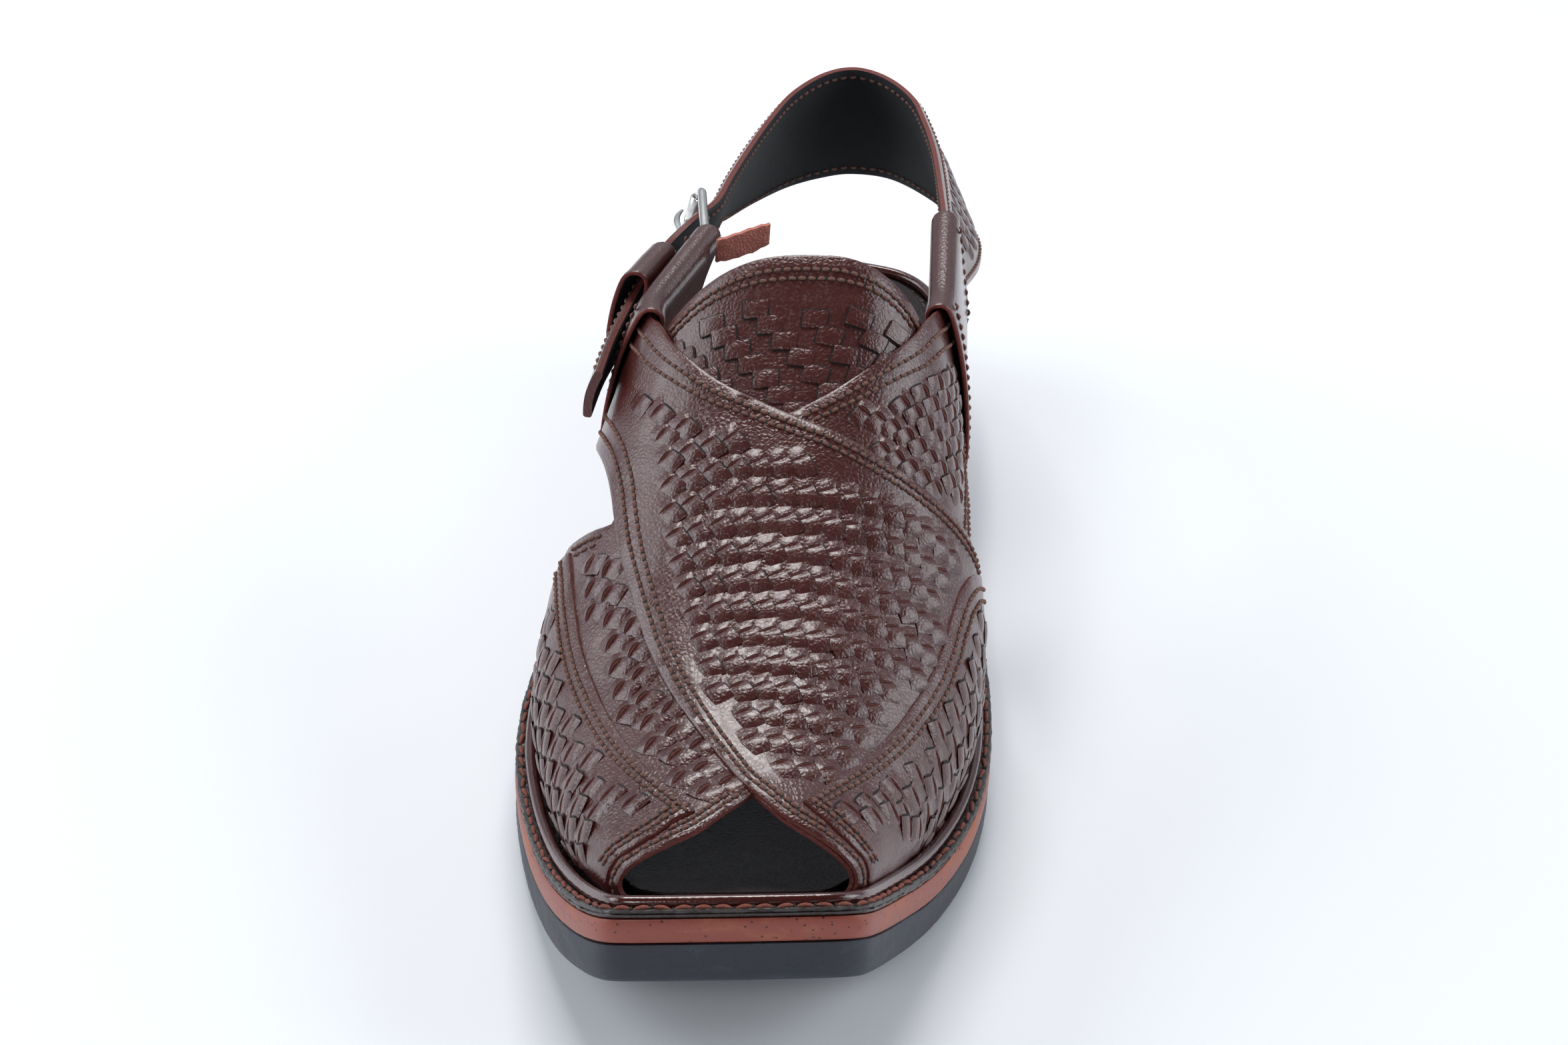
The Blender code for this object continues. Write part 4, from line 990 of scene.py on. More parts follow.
def crossing(name, mirror=1.0, lift=0.52, flap=0.62, slant=2.0, gape=0.42, lean=0.5, fall=0.6):
    """A slit with its lifted lip, and the flap that comes out of it.

    lift is the lip's height, flap the flap's, slant and gape the slit's slope and opening;
    lean and fall say how far the flap runs sideways and down, as shares of the cell.
    """
    up = (0, 0, 1)
    a, b = Vector((-CELL_W * 0.42, -slant * 0.47)), Vector((CELL_W * 0.46, slant * 0.53))
    down = Vector((CELL_W * lean, -CELL_H * fall))
    back = Vector((-0.35, CELL_H * 0.40))
    patch = Patch(mirror)

    def arch(t):
        return max(0.0, math.sin(math.pi * t))**0.7

    def lip(t):
        p = a.lerp(b, t)
        return Vector((p.x, p.y + gape * arch(t)))

    def bank(t, r):
        """The leather behind the slit, raised towards it."""
        p = lip(t) + back * r
        z = lift * arch(t) * (1 - r)**1.5 * (1 + 1.3 * r)
        return p.x + (t - 0.5) * 1.1 * r, p.y, z + 0.02 - 0.05 * r

    def cut(t, r):
        """The slit's red cut face under the lip, with painted shade on its row at the lip and its row at the
        foot.
        """
        p = lip(t).lerp(a.lerp(b, t) + Vector((0, -0.12)), r)
        return p.x, p.y, lift * arch(t) * (1 - r)**0.8 + 0.035

    def tab(t, r):
        """The flap: out of the slit, over the surface and down again."""
        p = a.lerp(b, t) + Vector((0, -0.08 - 0.10 * arch(t))) + down * r
        rise = min(1.0, 0.25 + r * 3.2)
        drop = max(0.0, (r - 0.55) / 0.45)
        z = (flap * (0.12 + 0.88 * t**0.8) + 0.24 * math.sin(math.pi * t)) * rise * (1 - drop**1.6)
        return p.x, p.y, z + 0.05 - 0.10 * drop**3

    def tab_side(t, r):
        """The flap's free side, down to the surface, half darkened with painted shade."""
        x, y, z = tab(1.0, t)
        return x + 0.05 * r, y, z - (z - 0.02) * r

    def shadow(t, r):
        """Painted shadow: a flat near-black strip beside the flap, where its raised edge shades the surface.
        """
        x, y, z = tab(1.0, t * 0.93)
        wide = 0.55 * math.sin(math.pi * min(1.0, 0.2 + t * 0.8))**0.5
        return x + wide * r - 0.02, y + 0.05, 0.06 + 0.05 * (1 - r)

    patch.grid(bank, 8, 5, up)
    # painted shade: the cut face's first and last rows are darkened
    patch.grid(cut, 8, 3, (0, -1, 0.4), raw=1.0, painted_shade=lambda i, j: (0.9, 0.0, 0.7)[i])
    patch.grid(tab, 6, 8, up)
    # painted shade: the free side is half darkened
    patch.grid(tab_side, 7, 1, (1, -0.3, 0.1), raw=0.25, painted_shade=0.5)
    # painted shadow: the strip beside the flap is near black
    patch.grid(shadow, 7, 1, up, painted_shade=1.0)
    return patch.build(name, UPPER)


def pillow(name, w=5.7, h=4.3, lift=0.62):
    """A strip of a plain weave that passes over: soft on top, cut at its sides, with painted shade on two of
    its walls and a painted shadow strip around it.
    """
    patch = Patch()

    def top(t, r):
        x, y = (t - 0.5) * w, (r - 0.5) * h
        u, v = 2 * t - 1, 2 * r - 1
        z = lift * (0.55 + 0.45 * (1 - abs(u)**2.5)) * (0.72 + 0.28 * (1 - abs(v)**3))
        return x + 0.10 * math.sin(3 * v), y + 0.08 * math.sin(2.5 * u), z

    def edge(side, axis, t):
        return top(side, t) if axis == 0 else top(t, side)

    def wall(side, axis):
        def point(t, r):
            x, y, z = edge(side, axis, t)
            return x, y, z * (1 - r) + 0.03 * r
        return point

    # painted shadow: a flat near-black strip around the pillow, where the gap lies in shade
    def gap_shadow_strip(side, axis):
        def point(t, r):
            x, y, _ = edge(side, axis, t)
            out = (1 if side else -1) * (0.36 * r + 0.02)
            return (x + out, y, 0.05) if axis == 0 else (x, y + out, 0.05)
        return point

    patch.grid(top, 8, 6, (0, 0, 1))
    patch.grid(wall(0.0, 0), 4, 1, (-1, 0, 0), raw=1.0)
    patch.grid(wall(1.0, 0), 4, 1, (1, 0, 0), raw=0.5)
    # painted shade: these two walls are darkened
    patch.grid(wall(0.0, 1), 5, 1, (0, -1, 0), painted_shade=0.6)
    patch.grid(wall(1.0, 1), 5, 1, (0, 1, 0), painted_shade=0.6)
    for side, axis in ((0.0, 0), (1.0, 0), (0.0, 1), (1.0, 1)):
        patch.grid(gap_shadow_strip(side, axis), 5, 1, (0, 0, 1), painted_shade=1.0)
    return patch.build(name, UPPER)


cell_plain = crossing("weave_cell")
cell_wide = crossing("weave_cell_wide", lift=0.85, gape=0.75, slant=2.4, flap=0.45)
cell_mirror = crossing("weave_cell_mirror", mirror=-1.0, lift=0.8, gape=0.7)
cell_low = crossing("weave_cell_low", lift=0.5, flap=0.4, gape=0.25, lean=0.35, fall=0.5)
cell_low_mirror = crossing("weave_cell_low_mirror", mirror=-1.0, lift=0.45, flap=0.4, gape=0.22, lean=0.35,
                           fall=0.5)
cell_square = pillow("weave_pillow")
print("faces in one crossing:", len(cell_plain.data.polygons))


# %% The node tree that sets copies on points
def placing_tree(name, along_path):
    """Copies of an object on points, or evenly along paths, turned by attributes.

    The copy's x axis follows "along" or the path, its z axis the attribute "nrm".
    """
    g = bpy.data.node_groups.new(name, "GeometryNodeTree")
    g.is_modifier = True
    for label, kind in (("Geometry", "Geometry"), ("Copy", "Object"), ("Material", "Material"),
                        ("Pitch", "Float"), ("Seed", "Int"), ("Jitter", "Float")):
        g.interface.new_socket(label, in_out="INPUT", socket_type="NodeSocket" + kind)
    g.interface.new_socket("Geometry", in_out="OUTPUT", socket_type="NodeSocketGeometry")

    def add(kind, **settings):
        n = g.nodes.new(kind)
        for key, value in settings.items():
            setattr(n, key, value)
        return n

    def named(label):
        n = add("GeometryNodeInputNamedAttribute", data_type="FLOAT_VECTOR")
        n.inputs["Name"].default_value = label
        return n.outputs["Attribute"]

    gi, go = add("NodeGroupInput"), add("NodeGroupOutput")
    points, along = gi.outputs["Geometry"], named("along")
    if along_path:
        to_curve = add("GeometryNodeMeshToCurve")
        spaced = add("GeometryNodeResampleCurve", mode="LENGTH")
        link_all(g, [(points, to_curve.inputs[0]), (to_curve.outputs[0], spaced.inputs["Curve"]),
                     (gi.outputs["Pitch"], spaced.inputs["Length"])])
        points, along = spaced.outputs[0], add("GeometryNodeInputTangent").outputs[0]
    face_x = add("FunctionNodeAlignRotationToVector", axis="X")
    face_z = add("FunctionNodeAlignRotationToVector", axis="Z", pivot_axis="X")
    turn = add("FunctionNodeRotateRotation", rotation_space="LOCAL")
    rnd = add("FunctionNodeRandomValue", data_type="FLOAT_VECTOR")
    rnd.inputs[0].default_value = (-0.35, -0.35, -1.0)
    rnd.inputs[1].default_value = (0.35, 0.35, 1.0)
    shake = add("ShaderNodeVectorMath", operation="SCALE")
    to_rot = add("FunctionNodeEulerToRotation")
    put = add("GeometryNodeInstanceOnPoints")
    obj = add("GeometryNodeObjectInfo")
    real = add("GeometryNodeRealizeInstances")
    dress = add("GeometryNodeSetMaterial")
    link_all(g, [(along, face_x.inputs["Vector"]), (face_x.outputs[0], face_z.inputs["Rotation"]),
                 (named("nrm"), face_z.inputs["Vector"]), (face_z.outputs[0], turn.inputs["Rotation"]),
                 (gi.outputs["Seed"], rnd.inputs["Seed"]), (rnd.outputs[0], shake.inputs[0]),
                 (gi.outputs["Jitter"], shake.inputs["Scale"]), (shake.outputs[0], to_rot.inputs[0]),
                 (to_rot.outputs[0], turn.inputs["Rotate By"]), (turn.outputs[0], put.inputs["Rotation"]),
                 (points, put.inputs["Points"]), (gi.outputs["Copy"], obj.inputs["Object"]),
                 (obj.outputs["Geometry"], put.inputs["Instance"]), (put.outputs[0], real.inputs[0]),
                 (real.outputs[0], dress.inputs["Geometry"]),
                 (gi.outputs["Material"], dress.inputs["Material"]), (dress.outputs[0], go.inputs[0])])
    if not along_path:
        g.links.new(named("size"), put.inputs["Scale"])
    return g


ON_POINTS = placing_tree("copies_on_points", False)
ON_PATHS = placing_tree("copies_along_paths", True)


def run_tree(name, carrier, tree, copy, material, pitch=1.0, seed=1, jitter=0.0):
    """Runs the tree on a carrier mesh and keeps the result as a plain mesh."""
    mod = carrier.modifiers.new("set_copies", "NODES")
    mod.node_group = tree
    ids = {s.name: s.identifier for s in tree.interface.items_tree if s.in_out == "INPUT"}
    values = {"Copy": copy, "Material": material, "Pitch": pitch, "Seed": seed, "Jitter": jitter}
    for label, value in values.items():
        mod[ids[label]] = value
    deps = bpy.context.evaluated_depsgraph_get()
    deps.update()
    mesh = bpy.data.meshes.new_from_object(carrier.evaluated_get(deps))
    mesh.name = name
    ob = bpy.data.objects.new(name, mesh)
    COLLECTION.objects.link(ob)
    bpy.data.objects.remove(carrier)
    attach(ob, "root")
    return ob


def point_carrier(name, spots):
    """spots: (point, along, normal, (sx, sy, sz)) in millimetres."""
    mesh = bpy.data.meshes.new(name)
    mesh.from_pydata([tuple(c * MM for c in s[0]) for s in spots], [], [])
    for key, k in (("along", 1), ("nrm", 2), ("size", 3)):
        at = mesh.attributes.new(key, "FLOAT_VECTOR", "POINT")
        at.data.foreach_set("vector", [c for s in spots for c in s[k]])
    ob = bpy.data.objects.new(name, mesh)
    COLLECTION.objects.link(ob)
    return ob


print("node trees:", ON_POINTS.name, ON_PATHS.name)


# %% Rows of crossings on the straps, bands and tongue
TRY_ROWS, TRY_COLUMNS = 26, 30


def weave_spots(start, angle, row_pitch, col_pitch, drift, keep, height, tilt):
    """Walks over the surface in true millimetres, row by row, from a start point."""
    out = []
    ca, sa = math.cos(math.radians(angle)), math.sin(math.radians(angle))
    turn_by = math.radians(angle + tilt)

    def walk(p, dx, dy):
        """From p, dx to the right and dy heelward, in millimetres on the leather."""
        _, tx, ts, _ = tangents(p, UNDER_OFF)
        return p[0] + dx / max(0.2, tx.length), p[1] - dy / max(0.2, ts.length)

    def on_map(p):
        return abs(p[0]) <= AX and 120 < p[1] < 292

    def far_off(p):
        return abs(p[0]) > AX * 1.3 or not 80 < p[1] < 330

    for sign in (1, -1):
        p = start
        for i in range(TRY_ROWS):
            if i > 0 or sign > 0:
                shift = (-sign * drift * i) % 1.0
                for way in (1, -1):
                    q = walk(p, ca * col_pitch * shift, sa * col_pitch * shift)
                    for j in range(TRY_COLUMNS):
                        if (j > 0 or way > 0) and on_map(q) and keep(q):
                            c, tx, _, n = tangents(q, height + wave(q))
                            x = tx.normalized()
                            along = x * math.cos(turn_by) + n.cross(x) * math.sin(turn_by)
                            out.append((c, along, n, (col_pitch / CELL_W, row_pitch / CELL_H, 1.0)))
                        q = walk(q, ca * col_pitch * way, sa * col_pitch * way)
                        if far_off(q):
                            break
            p = walk(p, -sa * row_pitch * sign, ca * row_pitch * sign)
            if far_off(p):
                break
    return out


# how far a field of crossings stays from a cut edge, and from a piece that lies over it
FROM_EDGE, FROM_BAND = 6.2, 2.4
BAND_SIDE = 0.965 * AX


def keep_over(p):
    """The big upper strap, between its two seams and clear of the right band."""
    return (inside(p, T_LINE) and signed(p, P_BR) < -2.6 and line_dist(p, T_UP_LINE, False) > 8.0
            and line_dist(p, T_LOW_LINE, False) > 6.8 and p[1] > 150 and p[0] < AX * 0.95)


def keep_under(p):
    """The lower strap, where the upper strap and the left band leave it bare."""
    return (inside(p, UNION) and not inside(p, T_LINE) and signed(p, P_TOP) < -1.5 and p[0] < 10
            and signed(p, P_BL) < -FROM_BAND and line_dist(p, UNION) > 6.5)


def keep_wing_r(p):
    """The lower strap's right wing, above the upper strap."""
    return (inside(p, UNION) and not inside(p, T_LINE) and p[0] > 5 and signed(p, P_TOP) < -2.6
            and line_dist(p, UNION) > FROM_EDGE)


def keep_band_l(p):
    """The left band, down to where it is lasted under."""
    return signed(p, P_BL) > FROM_EDGE and p[0] > -BAND_SIDE and 188 < p[1] < 273


def keep_band_r(p):
    """The right band, down to where it is lasted under."""
    return signed(p, P_BR) > FROM_EDGE and p[0] < BAND_SIDE and 186 < p[1] < 273


def keep_tongue(p):
    """The part of the tongue that shows above the straps, inside its arch of stitches."""
    return inside(p, tongue_line) and line_dist(p, tongue_line) > 9.0 and p[1] < 186


# name, crossing, start, angle, row pitch, column pitch, drift of a row, where, height, tilt of a crossing
FIELDS = [
    ("weave_over", cell_plain, (0.0, 222.0), 7.0, 7.3, 4.8, 0.28, keep_over, OVER_OFF, 0.0),
    ("weave_under", cell_wide, (-20.0, 250.0), 28.0, 6.4, 5.3, 0.45, keep_under, UNDER_OFF, -4.0),
    ("weave_wing_r", cell_mirror, (30.0, 155.0), 4.0, 7.0, 4.3, 0.3, keep_wing_r, UNDER_OFF, -4.0),
    ("weave_band_l", cell_low, (-48.0, 240.0), 26.0, 6.9, 5.6, 0.1, keep_band_l, BAND_L_OFF, -20.0),
    ("weave_band_r", cell_low_mirror, (48.0, 235.0), 24.0, 7.0, 5.6, 0.1, keep_band_r, BAND_R_OFF, -26.0),
    ("weave_tongue", cell_square, (0.0, 165.0), -45.0, 8.8, 5.4, -0.13, keep_tongue, TONGUE_OFF, 45.0),
]
for seed, (name, cell, *field) in enumerate(FIELDS):
    spots = weave_spots(*field)
    if cell is cell_square:
        spots = [(c, x, n, (1.0, 1.0, 1.0)) for c, x, n, _ in spots]
    carrier = point_carrier(name + "_points", spots)
    ob = run_tree(name, carrier, ON_POINTS, cell, UPPER, seed=seed, jitter=0.10)
    print(name, len(spots), "crossings,", len(ob.data.polygons), "faces")

# %% [markdown]
# ## Stitches
# A lockstitch shows as short twisted dashes that sink into a needle hole at each end. One dash with its two
# holes, painted as near-black discs of shade, is modelled once, and a node tree sets it along every seam at
# the machine's stitch length.

# %% One stitch
def stitch(name, length, radius, material):
    """A twisted dash of thread, with a flat disc of painted shade for the needle hole at each end."""
    verts, faces, painted_shade = [], [], []
    k, n, hole_sides = 7, 6, 8
    for i in range(n + 1):
        t = i / n
        x = (t - 0.5) * length
        r = radius * (0.55 + 0.45 * math.sin(math.pi * t)**0.5)
        z = radius * (0.75 * math.sin(math.pi * t) - 0.25)
        for j in range(k):
            an = 2 * math.pi * j / k + 1.2 * t
            verts.append((x, math.cos(an) * r, z + math.sin(an) * r * 0.9))
    for i in range(n):
        for j in range(k):
            a, b = i * k + j, i * k + (j + 1) % k
            faces.append((a, a + k, b + k, b))
            painted_shade.append(0.0)
    # each needle hole is a flat disc of painted shade, near black
    for x in (-0.56, 0.56):
        base = len(verts)
        for j in range(hole_sides):
            an = 2 * math.pi * j / hole_sides
            verts.append((x * length + math.cos(an) * radius * 0.85, math.sin(an) * radius, 0.05))
        faces.append(tuple(base + j for j in range(hole_sides)))
        painted_shade.append(1.0)
    ob = new_piece(name, verts, faces, material, {"painted_shade": painted_shade})
    bm = bmesh.new()
    bm.from_mesh(ob.data)
    bmesh.ops.recalc_face_normals(bm, faces=bm.faces[:n * k])
    for f in bm.faces:
        if len(f.verts) == hole_sides and f.normal.z < 0:
            f.normal_flip()
    bm.to_mesh(ob.data)
    bm.free()
    shade(ob, 60)
    return ob


dash = stitch("stitch_dash", 1.75, 0.46, THREAD)
dash_fine = stitch("stitch_dash_fine", 1.7, 0.40, THREAD)
dash_welt = stitch("stitch_dash_welt", 3.4, 0.5, THREAD_RED)


def path_carrier(name, paths):
    """paths: lists of (point, normal) in millimetres, each an open line."""
    verts, edges, normals = [], [], []
    for path in paths:
        base = len(verts)
        for p, n in path:
            verts.append(tuple(c * MM for c in p))
            normals += [n[0], n[1], n[2]]
        edges += [(base + i, base + i + 1) for i in range(len(path) - 1)]
    mesh = bpy.data.meshes.new(name)
    mesh.from_pydata(verts, edges, [])
    at = mesh.attributes.new("nrm", "FLOAT_VECTOR", "POINT")
    at.data.foreach_set("vector", normals)
    ob = bpy.data.objects.new(name, mesh)
    COLLECTION.objects.link(ob)
    return ob


# %% Seams on the last
def shifted(line, d):
    """An open line moved sideways."""
    out = []
    for i, (x, y) in enumerate(line):
        p, q = line[max(0, i - 1)], line[min(len(line) - 1, i + 1)]
        dx, dy = q[0] - p[0], q[1] - p[1]
        le = math.hypot(dx, dy) or 1.0
        out.append((x - dy / le * d, y + dx / le * d))
    return out


def offset_run(line, d, keep):
    """The parts of a line moved sideways that lie where keep allows."""
    runs = [[]]
    for p in shifted(resample(line, 2.0), d):
        if keep(p):
            runs[-1].append(p)
        elif runs[-1]:
            runs.append([])
    return [run for run in runs if len(run) > 3]


def on_last(run, height):
    """A run of plan points as points and normals on the leather."""
    path = []
    for p in run:
        c, _, _, n = tangents(p, height + wave(p))
        path.append((c, n))
    return path


EDGE_CLEAR = 1.2


def seam_rows(line, dists, region, height, rule=lambda p: True):
    """Rows of stitches at distances from a line, on the side that is in the region."""
    rows = []
    for d in dists:
        best = []
        for sg in (1, -1):
            runs = offset_run(line, sg * d, lambda p: inside(p, region) and abs(p[0]) < AX * 0.985
                              and line_dist(p, region) > EDGE_CLEAR and rule(p))
            if sum(len(r) for r in runs) > sum(len(r) for r in best):
                best = runs
        rows += [on_last(r, height) for r in best]
    return rows


def clear_of_top(p):
    """Not under the upper strap."""
    return signed(p, P_TOP) < -0.9


def clear_of_top_and_band(p):
    """Not under the upper strap or the left band."""
    return clear_of_top(p) and signed(p, P_BL) < -0.8


PAIR, TONGUE_PAIR = (1.9, 3.6), (2.8, 4.5)
seams = seam_rows(T_UP_LINE, PAIR, T_LINE, OVER_OFF)
seams += seam_rows(T_LOW_LINE, PAIR, T_LINE, OVER_OFF, lambda p: signed(p, P_BR) < -1.0)
for line, rule in ((UNDER_UP, clear_of_top), (WING_LOW, clear_of_top), (UNDER_REAR, clear_of_top_and_band),
                   (TOE_L, clear_of_top_and_band)):
    seams += seam_rows(rounded(dom(line)), PAIR, UNION, UNDER_OFF, rule)
for line, region, height in ((BAND_L[:6], BAND_L_LINE, BAND_L_OFF), (BAND_L[5:8], BAND_L_LINE, BAND_L_OFF),
                             (BAND_R[:8], BAND_R_LINE, BAND_R_OFF), (BAND_R[7:10], BAND_R_LINE, BAND_R_OFF)):
    seams += seam_rows(rounded(dom(line)), PAIR, region, height)
seams += seam_rows(rounded(dom(TONGUE[:12])), TONGUE_PAIR, tongue_line, TONGUE_OFF,
                   lambda p: not inside(p, UNION))
stitches = run_tree("stitches_upper", path_carrier("seams_upper", seams), ON_PATHS, dash, THREAD,
                    pitch=2.2 * MM, seed=21, jitter=0.1)
print("seams:", len(seams), "faces:", len(stitches.data.polygons))

# %% The welt's stitches
welt_path = [(p, Vector((0, 0, 1))) for p in loop_path(1.45, rising(ztop, 0.12), 2.5)]
welt_path.append(welt_path[0])
welt_stitches = run_tree("stitches_welt", path_carrier("seam_welt", [welt_path]), ON_PATHS, dash_welt,
                         THREAD_RED, pitch=4.1 * MM, seed=8, jitter=0.25)
print("welt stitches:", len(welt_stitches.data.polygons), "faces")

# %% [markdown]
# ## Sleeves and heel strap
# The wings end in two flattened tubes of leather with a red cut rim and a black lining. One holds the heel
# strap, the other the buckle. The same profile makes the outside and, moved in by the leather's thickness,
# the inside; rounding both at the rim gives the rolled edge that catches the light.

# %% Shape of the sleeves
def a_of_z(s, side, z):
    """How far over the instep the last has a height, at a station."""
    lo, hi = 0.0, 1.0
    for _ in range(40):
        m = (lo + hi) / 2
        if last0(s, side * m)[2] > z:
            lo = m
        else:
            hi = m
    return side * (lo + hi) / 2


SLEEVES = {
    -1: dict(s_f=146.0, top=88.6, low=53.0, off=1.55,
             rear_top=(-26.9, 42.0, 91.6), rear_low=(-32.0, 42.0, 74.0)),
    1: dict(s_f=137.5, top=90.6, low=50.0, off=0.75,
            rear_top=(29.8, 49.0, 96.0), rear_low=(33.4, 49.0, 75.4)),
}
WALL, ON_LAST_RUN = 1.25, 7.0
SLEEVE_HALF, HALF_WAIST, HALF_TAPER = 3.75, 0.4, 0.3


def sleeve_centre(side, q, v):
    """Middle surface of a sleeve: q from front to rear, v from top to bottom."""
    g = SLEEVES[side]
    s_f = g["s_f"]

    def front(s):
        z = g["top"] + (g["low"] - g["top"]) * v
        return Vector(last(s, a_of_z(s, side, z), g["off"]))

    rear = Vector(g["rear_top"]) * (1 - v) + Vector(g["rear_low"]) * v
    total = rear[1] - (150.0 - s_f)
    d = q * total
    if d <= ON_LAST_RUN:
        return front(s_f - d)
    return front(s_f - ON_LAST_RUN).lerp(rear, (d - ON_LAST_RUN) / (total - ON_LAST_RUN))


def sleeve_loop(side, q, shrink):
    """The flattened tube's outline at q, moved in by shrink: outer side, lower end, inner side, upper end."""
    nv = 6
    cs = [sleeve_centre(side, q, k / (nv - 1)) for k in range(nv)]
    hs, dirs = [], []
    for k in range(nv):
        v = k / (nv - 1)
        hs.append(SLEEVE_HALF - HALF_WAIST * math.sin(math.pi * v) - HALF_TAPER * v)
        t = (cs[min(nv - 1, k + 1)] - cs[max(0, k - 1)]).normalized()
        nrm = Vector((0, -1, 0)).cross(t).normalized()
        dirs.append((t, -nrm if nrm.x * side < 0 else nrm))

    def turn(k, angles, way):
        r = hs[k] - shrink
        t, nrm = dirs[k]
        return [cs[k] + nrm * r * math.cos(math.radians(an)) + t * way * r * math.sin(math.radians(an))
                for an in angles]

    outer = [cs[k] + dirs[k][1] * (hs[k] - shrink) for k in range(nv)]
    inner = [cs[k] - dirs[k][1] * (hs[k] - shrink) for k in reversed(range(nv))]
    return outer + turn(-1, (45, 90, 135), 1) + inner + turn(0, (135, 90, 45), -1)


# %% Tubes with a red rim and a black lining
def tube_wall(name, outer, inner, material, rim=0.25):
    """Outer and inner loops, station by station, open at both ends."""
    n, k = len(outer), len(outer[0])
    verts, faces, raw, lining = [], [], [], []
    rows = list(outer) + [[p.lerp(q, 0.5) for p, q in zip(outer[-1], inner[-1])]] + list(inner[::-1])
    rows.append([p.lerp(q, 0.5) for p, q in zip(outer[0], inner[0])])
    bulge = {n: (outer[-1], outer[-2]), len(rows) - 1: (outer[0], outer[1])}
    for i, row in enumerate(rows):
        if i in bulge:
            end, near = bulge[i]
            row = [p + (a - b).normalized() * rim for p, a, b in zip(row, end, near)]
        verts += [tuple(p) for p in row]
    m = len(rows)
    for i in range(m):
        for j in range(k):
            a, b = i * k + j, i * k + (j + 1) % k
            c, d = ((i + 1) % m) * k + (j + 1) % k, ((i + 1) % m) * k + j
            faces.append((a, b, c, d))
            edge = i in (n - 1, n, m - 2, m - 1)
            raw.append(1.0 if edge else 0.0)
            lining.append(1.0 if n < i < m - 2 else 0.0)
    ob = new_piece(name, verts, faces, material, {"raw": raw, "lining": lining})
    outward(ob)
    sub = ob.modifiers.new("smooth", "SUBSURF")
    sub.levels = sub.render_levels = 1
    bpy.context.view_layer.update()
    mesh = bpy.data.meshes.new_from_object(ob.evaluated_get(bpy.context.evaluated_depsgraph_get()))
    ob.modifiers.clear()
    ob.data = mesh
    shade(ob, 40)
    return ob


def fine_sleeve(name, side):
    """One sleeve, with stations close together near its two rims."""
    qs = [0, 0.03, 0.09, 0.18, 0.26, 0.34, 0.44, 0.55, 0.66, 0.78, 0.9, 0.97, 1.0]
    loops = [[sleeve_loop(side, q, shrink) for q in qs] for shrink in (0.0, WALL)]
    return tube_wall(name, *loops, PLAIN)


sleeves = []
for name, side in (("sleeve_l", -1), ("sleeve_r", 1)):
    ob = fine_sleeve(name + "_fine", side)
    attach(ob, "root")
    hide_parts(name)
    sleeves.append(ob)
print("sleeve faces:", [len(o.data.polygons) for o in sleeves])


def sleeve_seam(side, q, shrink=-0.02):
    """A row of stitches around the outer side of a sleeve at a distance from its rim."""
    row, near = sleeve_loop(side, q, shrink), sleeve_loop(side, min(1.0, q + 0.03), shrink)
    path = []
    mid = sum(row, Vector()) / len(row)
    for i in range(9):
        p, t = row[i], row[i + 1] - row[i - 1]
        n = t.cross(near[i] - p).normalized()
        if n.dot(p - mid) < 0:
            n = -n
        path.append((p, n))
    return path


# %% The heel strap
HEEL_TOP = [(30.2, 43.5, 96.6), (29.6, 50, 96), (28.3, 66, 94), (26.6, 86, 91), (24.8, 102, 89),
            (22, 117, 88),
            (18.2, 132, 87), (11, 143.5, 86.5), (2.5, 147.5, 86.7), (-5.6, 143.5, 86.5), (-13.4, 131.6, 86),
            (-18.5, 113, 86.5), (-22, 95, 87.5), (-24.6, 77, 89.3), (-26.6, 62, 90.6), (-30.9, 51.5, 91.2),
            (-36.4, 41, 89.2), (-38.9, 30, 87), (-41.2, 17, 84.8), (-42.8, 4, 83.5), (-43.6, -9, 82.3)]
HEEL_LOW = [(33.3, 43.5, 76.2), (33.6, 50, 75.8), (35.6, 63, 70.5), (38.4, 80, 66), (38.2, 97, 62.5),
            (33.5, 115, 59.5),
            (25.5, 131, 57.5), (14, 146, 55), (2.5, 149.5, 54), (-6.5, 146, 53.8), (-15, 139, 54),
            (-23, 126, 55.5), (-28.5, 106, 61), (-28.5, 84, 72.0), (-29.4, 63, 77.4), (-33.9, 51.5, 78.2),
            (-39.0, 41.5, 76.0),
            (-41.2, 30, 73.8), (-43.4, 17, 71.5), (-45.2, 4, 70.6), (-46.2, -9, 69.8)]


def catmull(pts, t):
    """A smooth curve through points; t counts them."""
    n = len(pts) - 1
    i = min(n - 1, int(t))
    u = t - i
    p1, p2 = Vector(pts[i]), Vector(pts[i + 1])
    p0 = Vector(pts[i - 1]) if i > 0 else p1 * 2 - p2
    p3 = Vector(pts[i + 2]) if i + 2 <= n else p2 * 2 - p1
    return 0.5 * ((p1 * 2) + (p2 - p0) * u + (p0 * 2 - p1 * 5 + p2 * 4 - p3) * u * u
                  + (p1 * 3 - p0 - p2 * 3 + p3) * u * u * u)


def wall_points(side):
    """Points all over a sleeve's outer side."""
    out = []
    for i in range(41):
        row = sleeve_loop(side, i / 40, 0.0)[:9]
        for p, q in zip(row, row[1:]):
            for u in (0.0, 0.2, 0.4, 0.6, 0.8):
                out.append(p.lerp(q, u))
    return out


OUTSIDE_L = wall_points(-1)


def sleeve_out(y, z):
    """How far out the left sleeve's outer wall stands at a height and a place along."""
    return min(OUTSIDE_L, key=lambda c: abs(c.y - y) + abs(c.z - z)).x


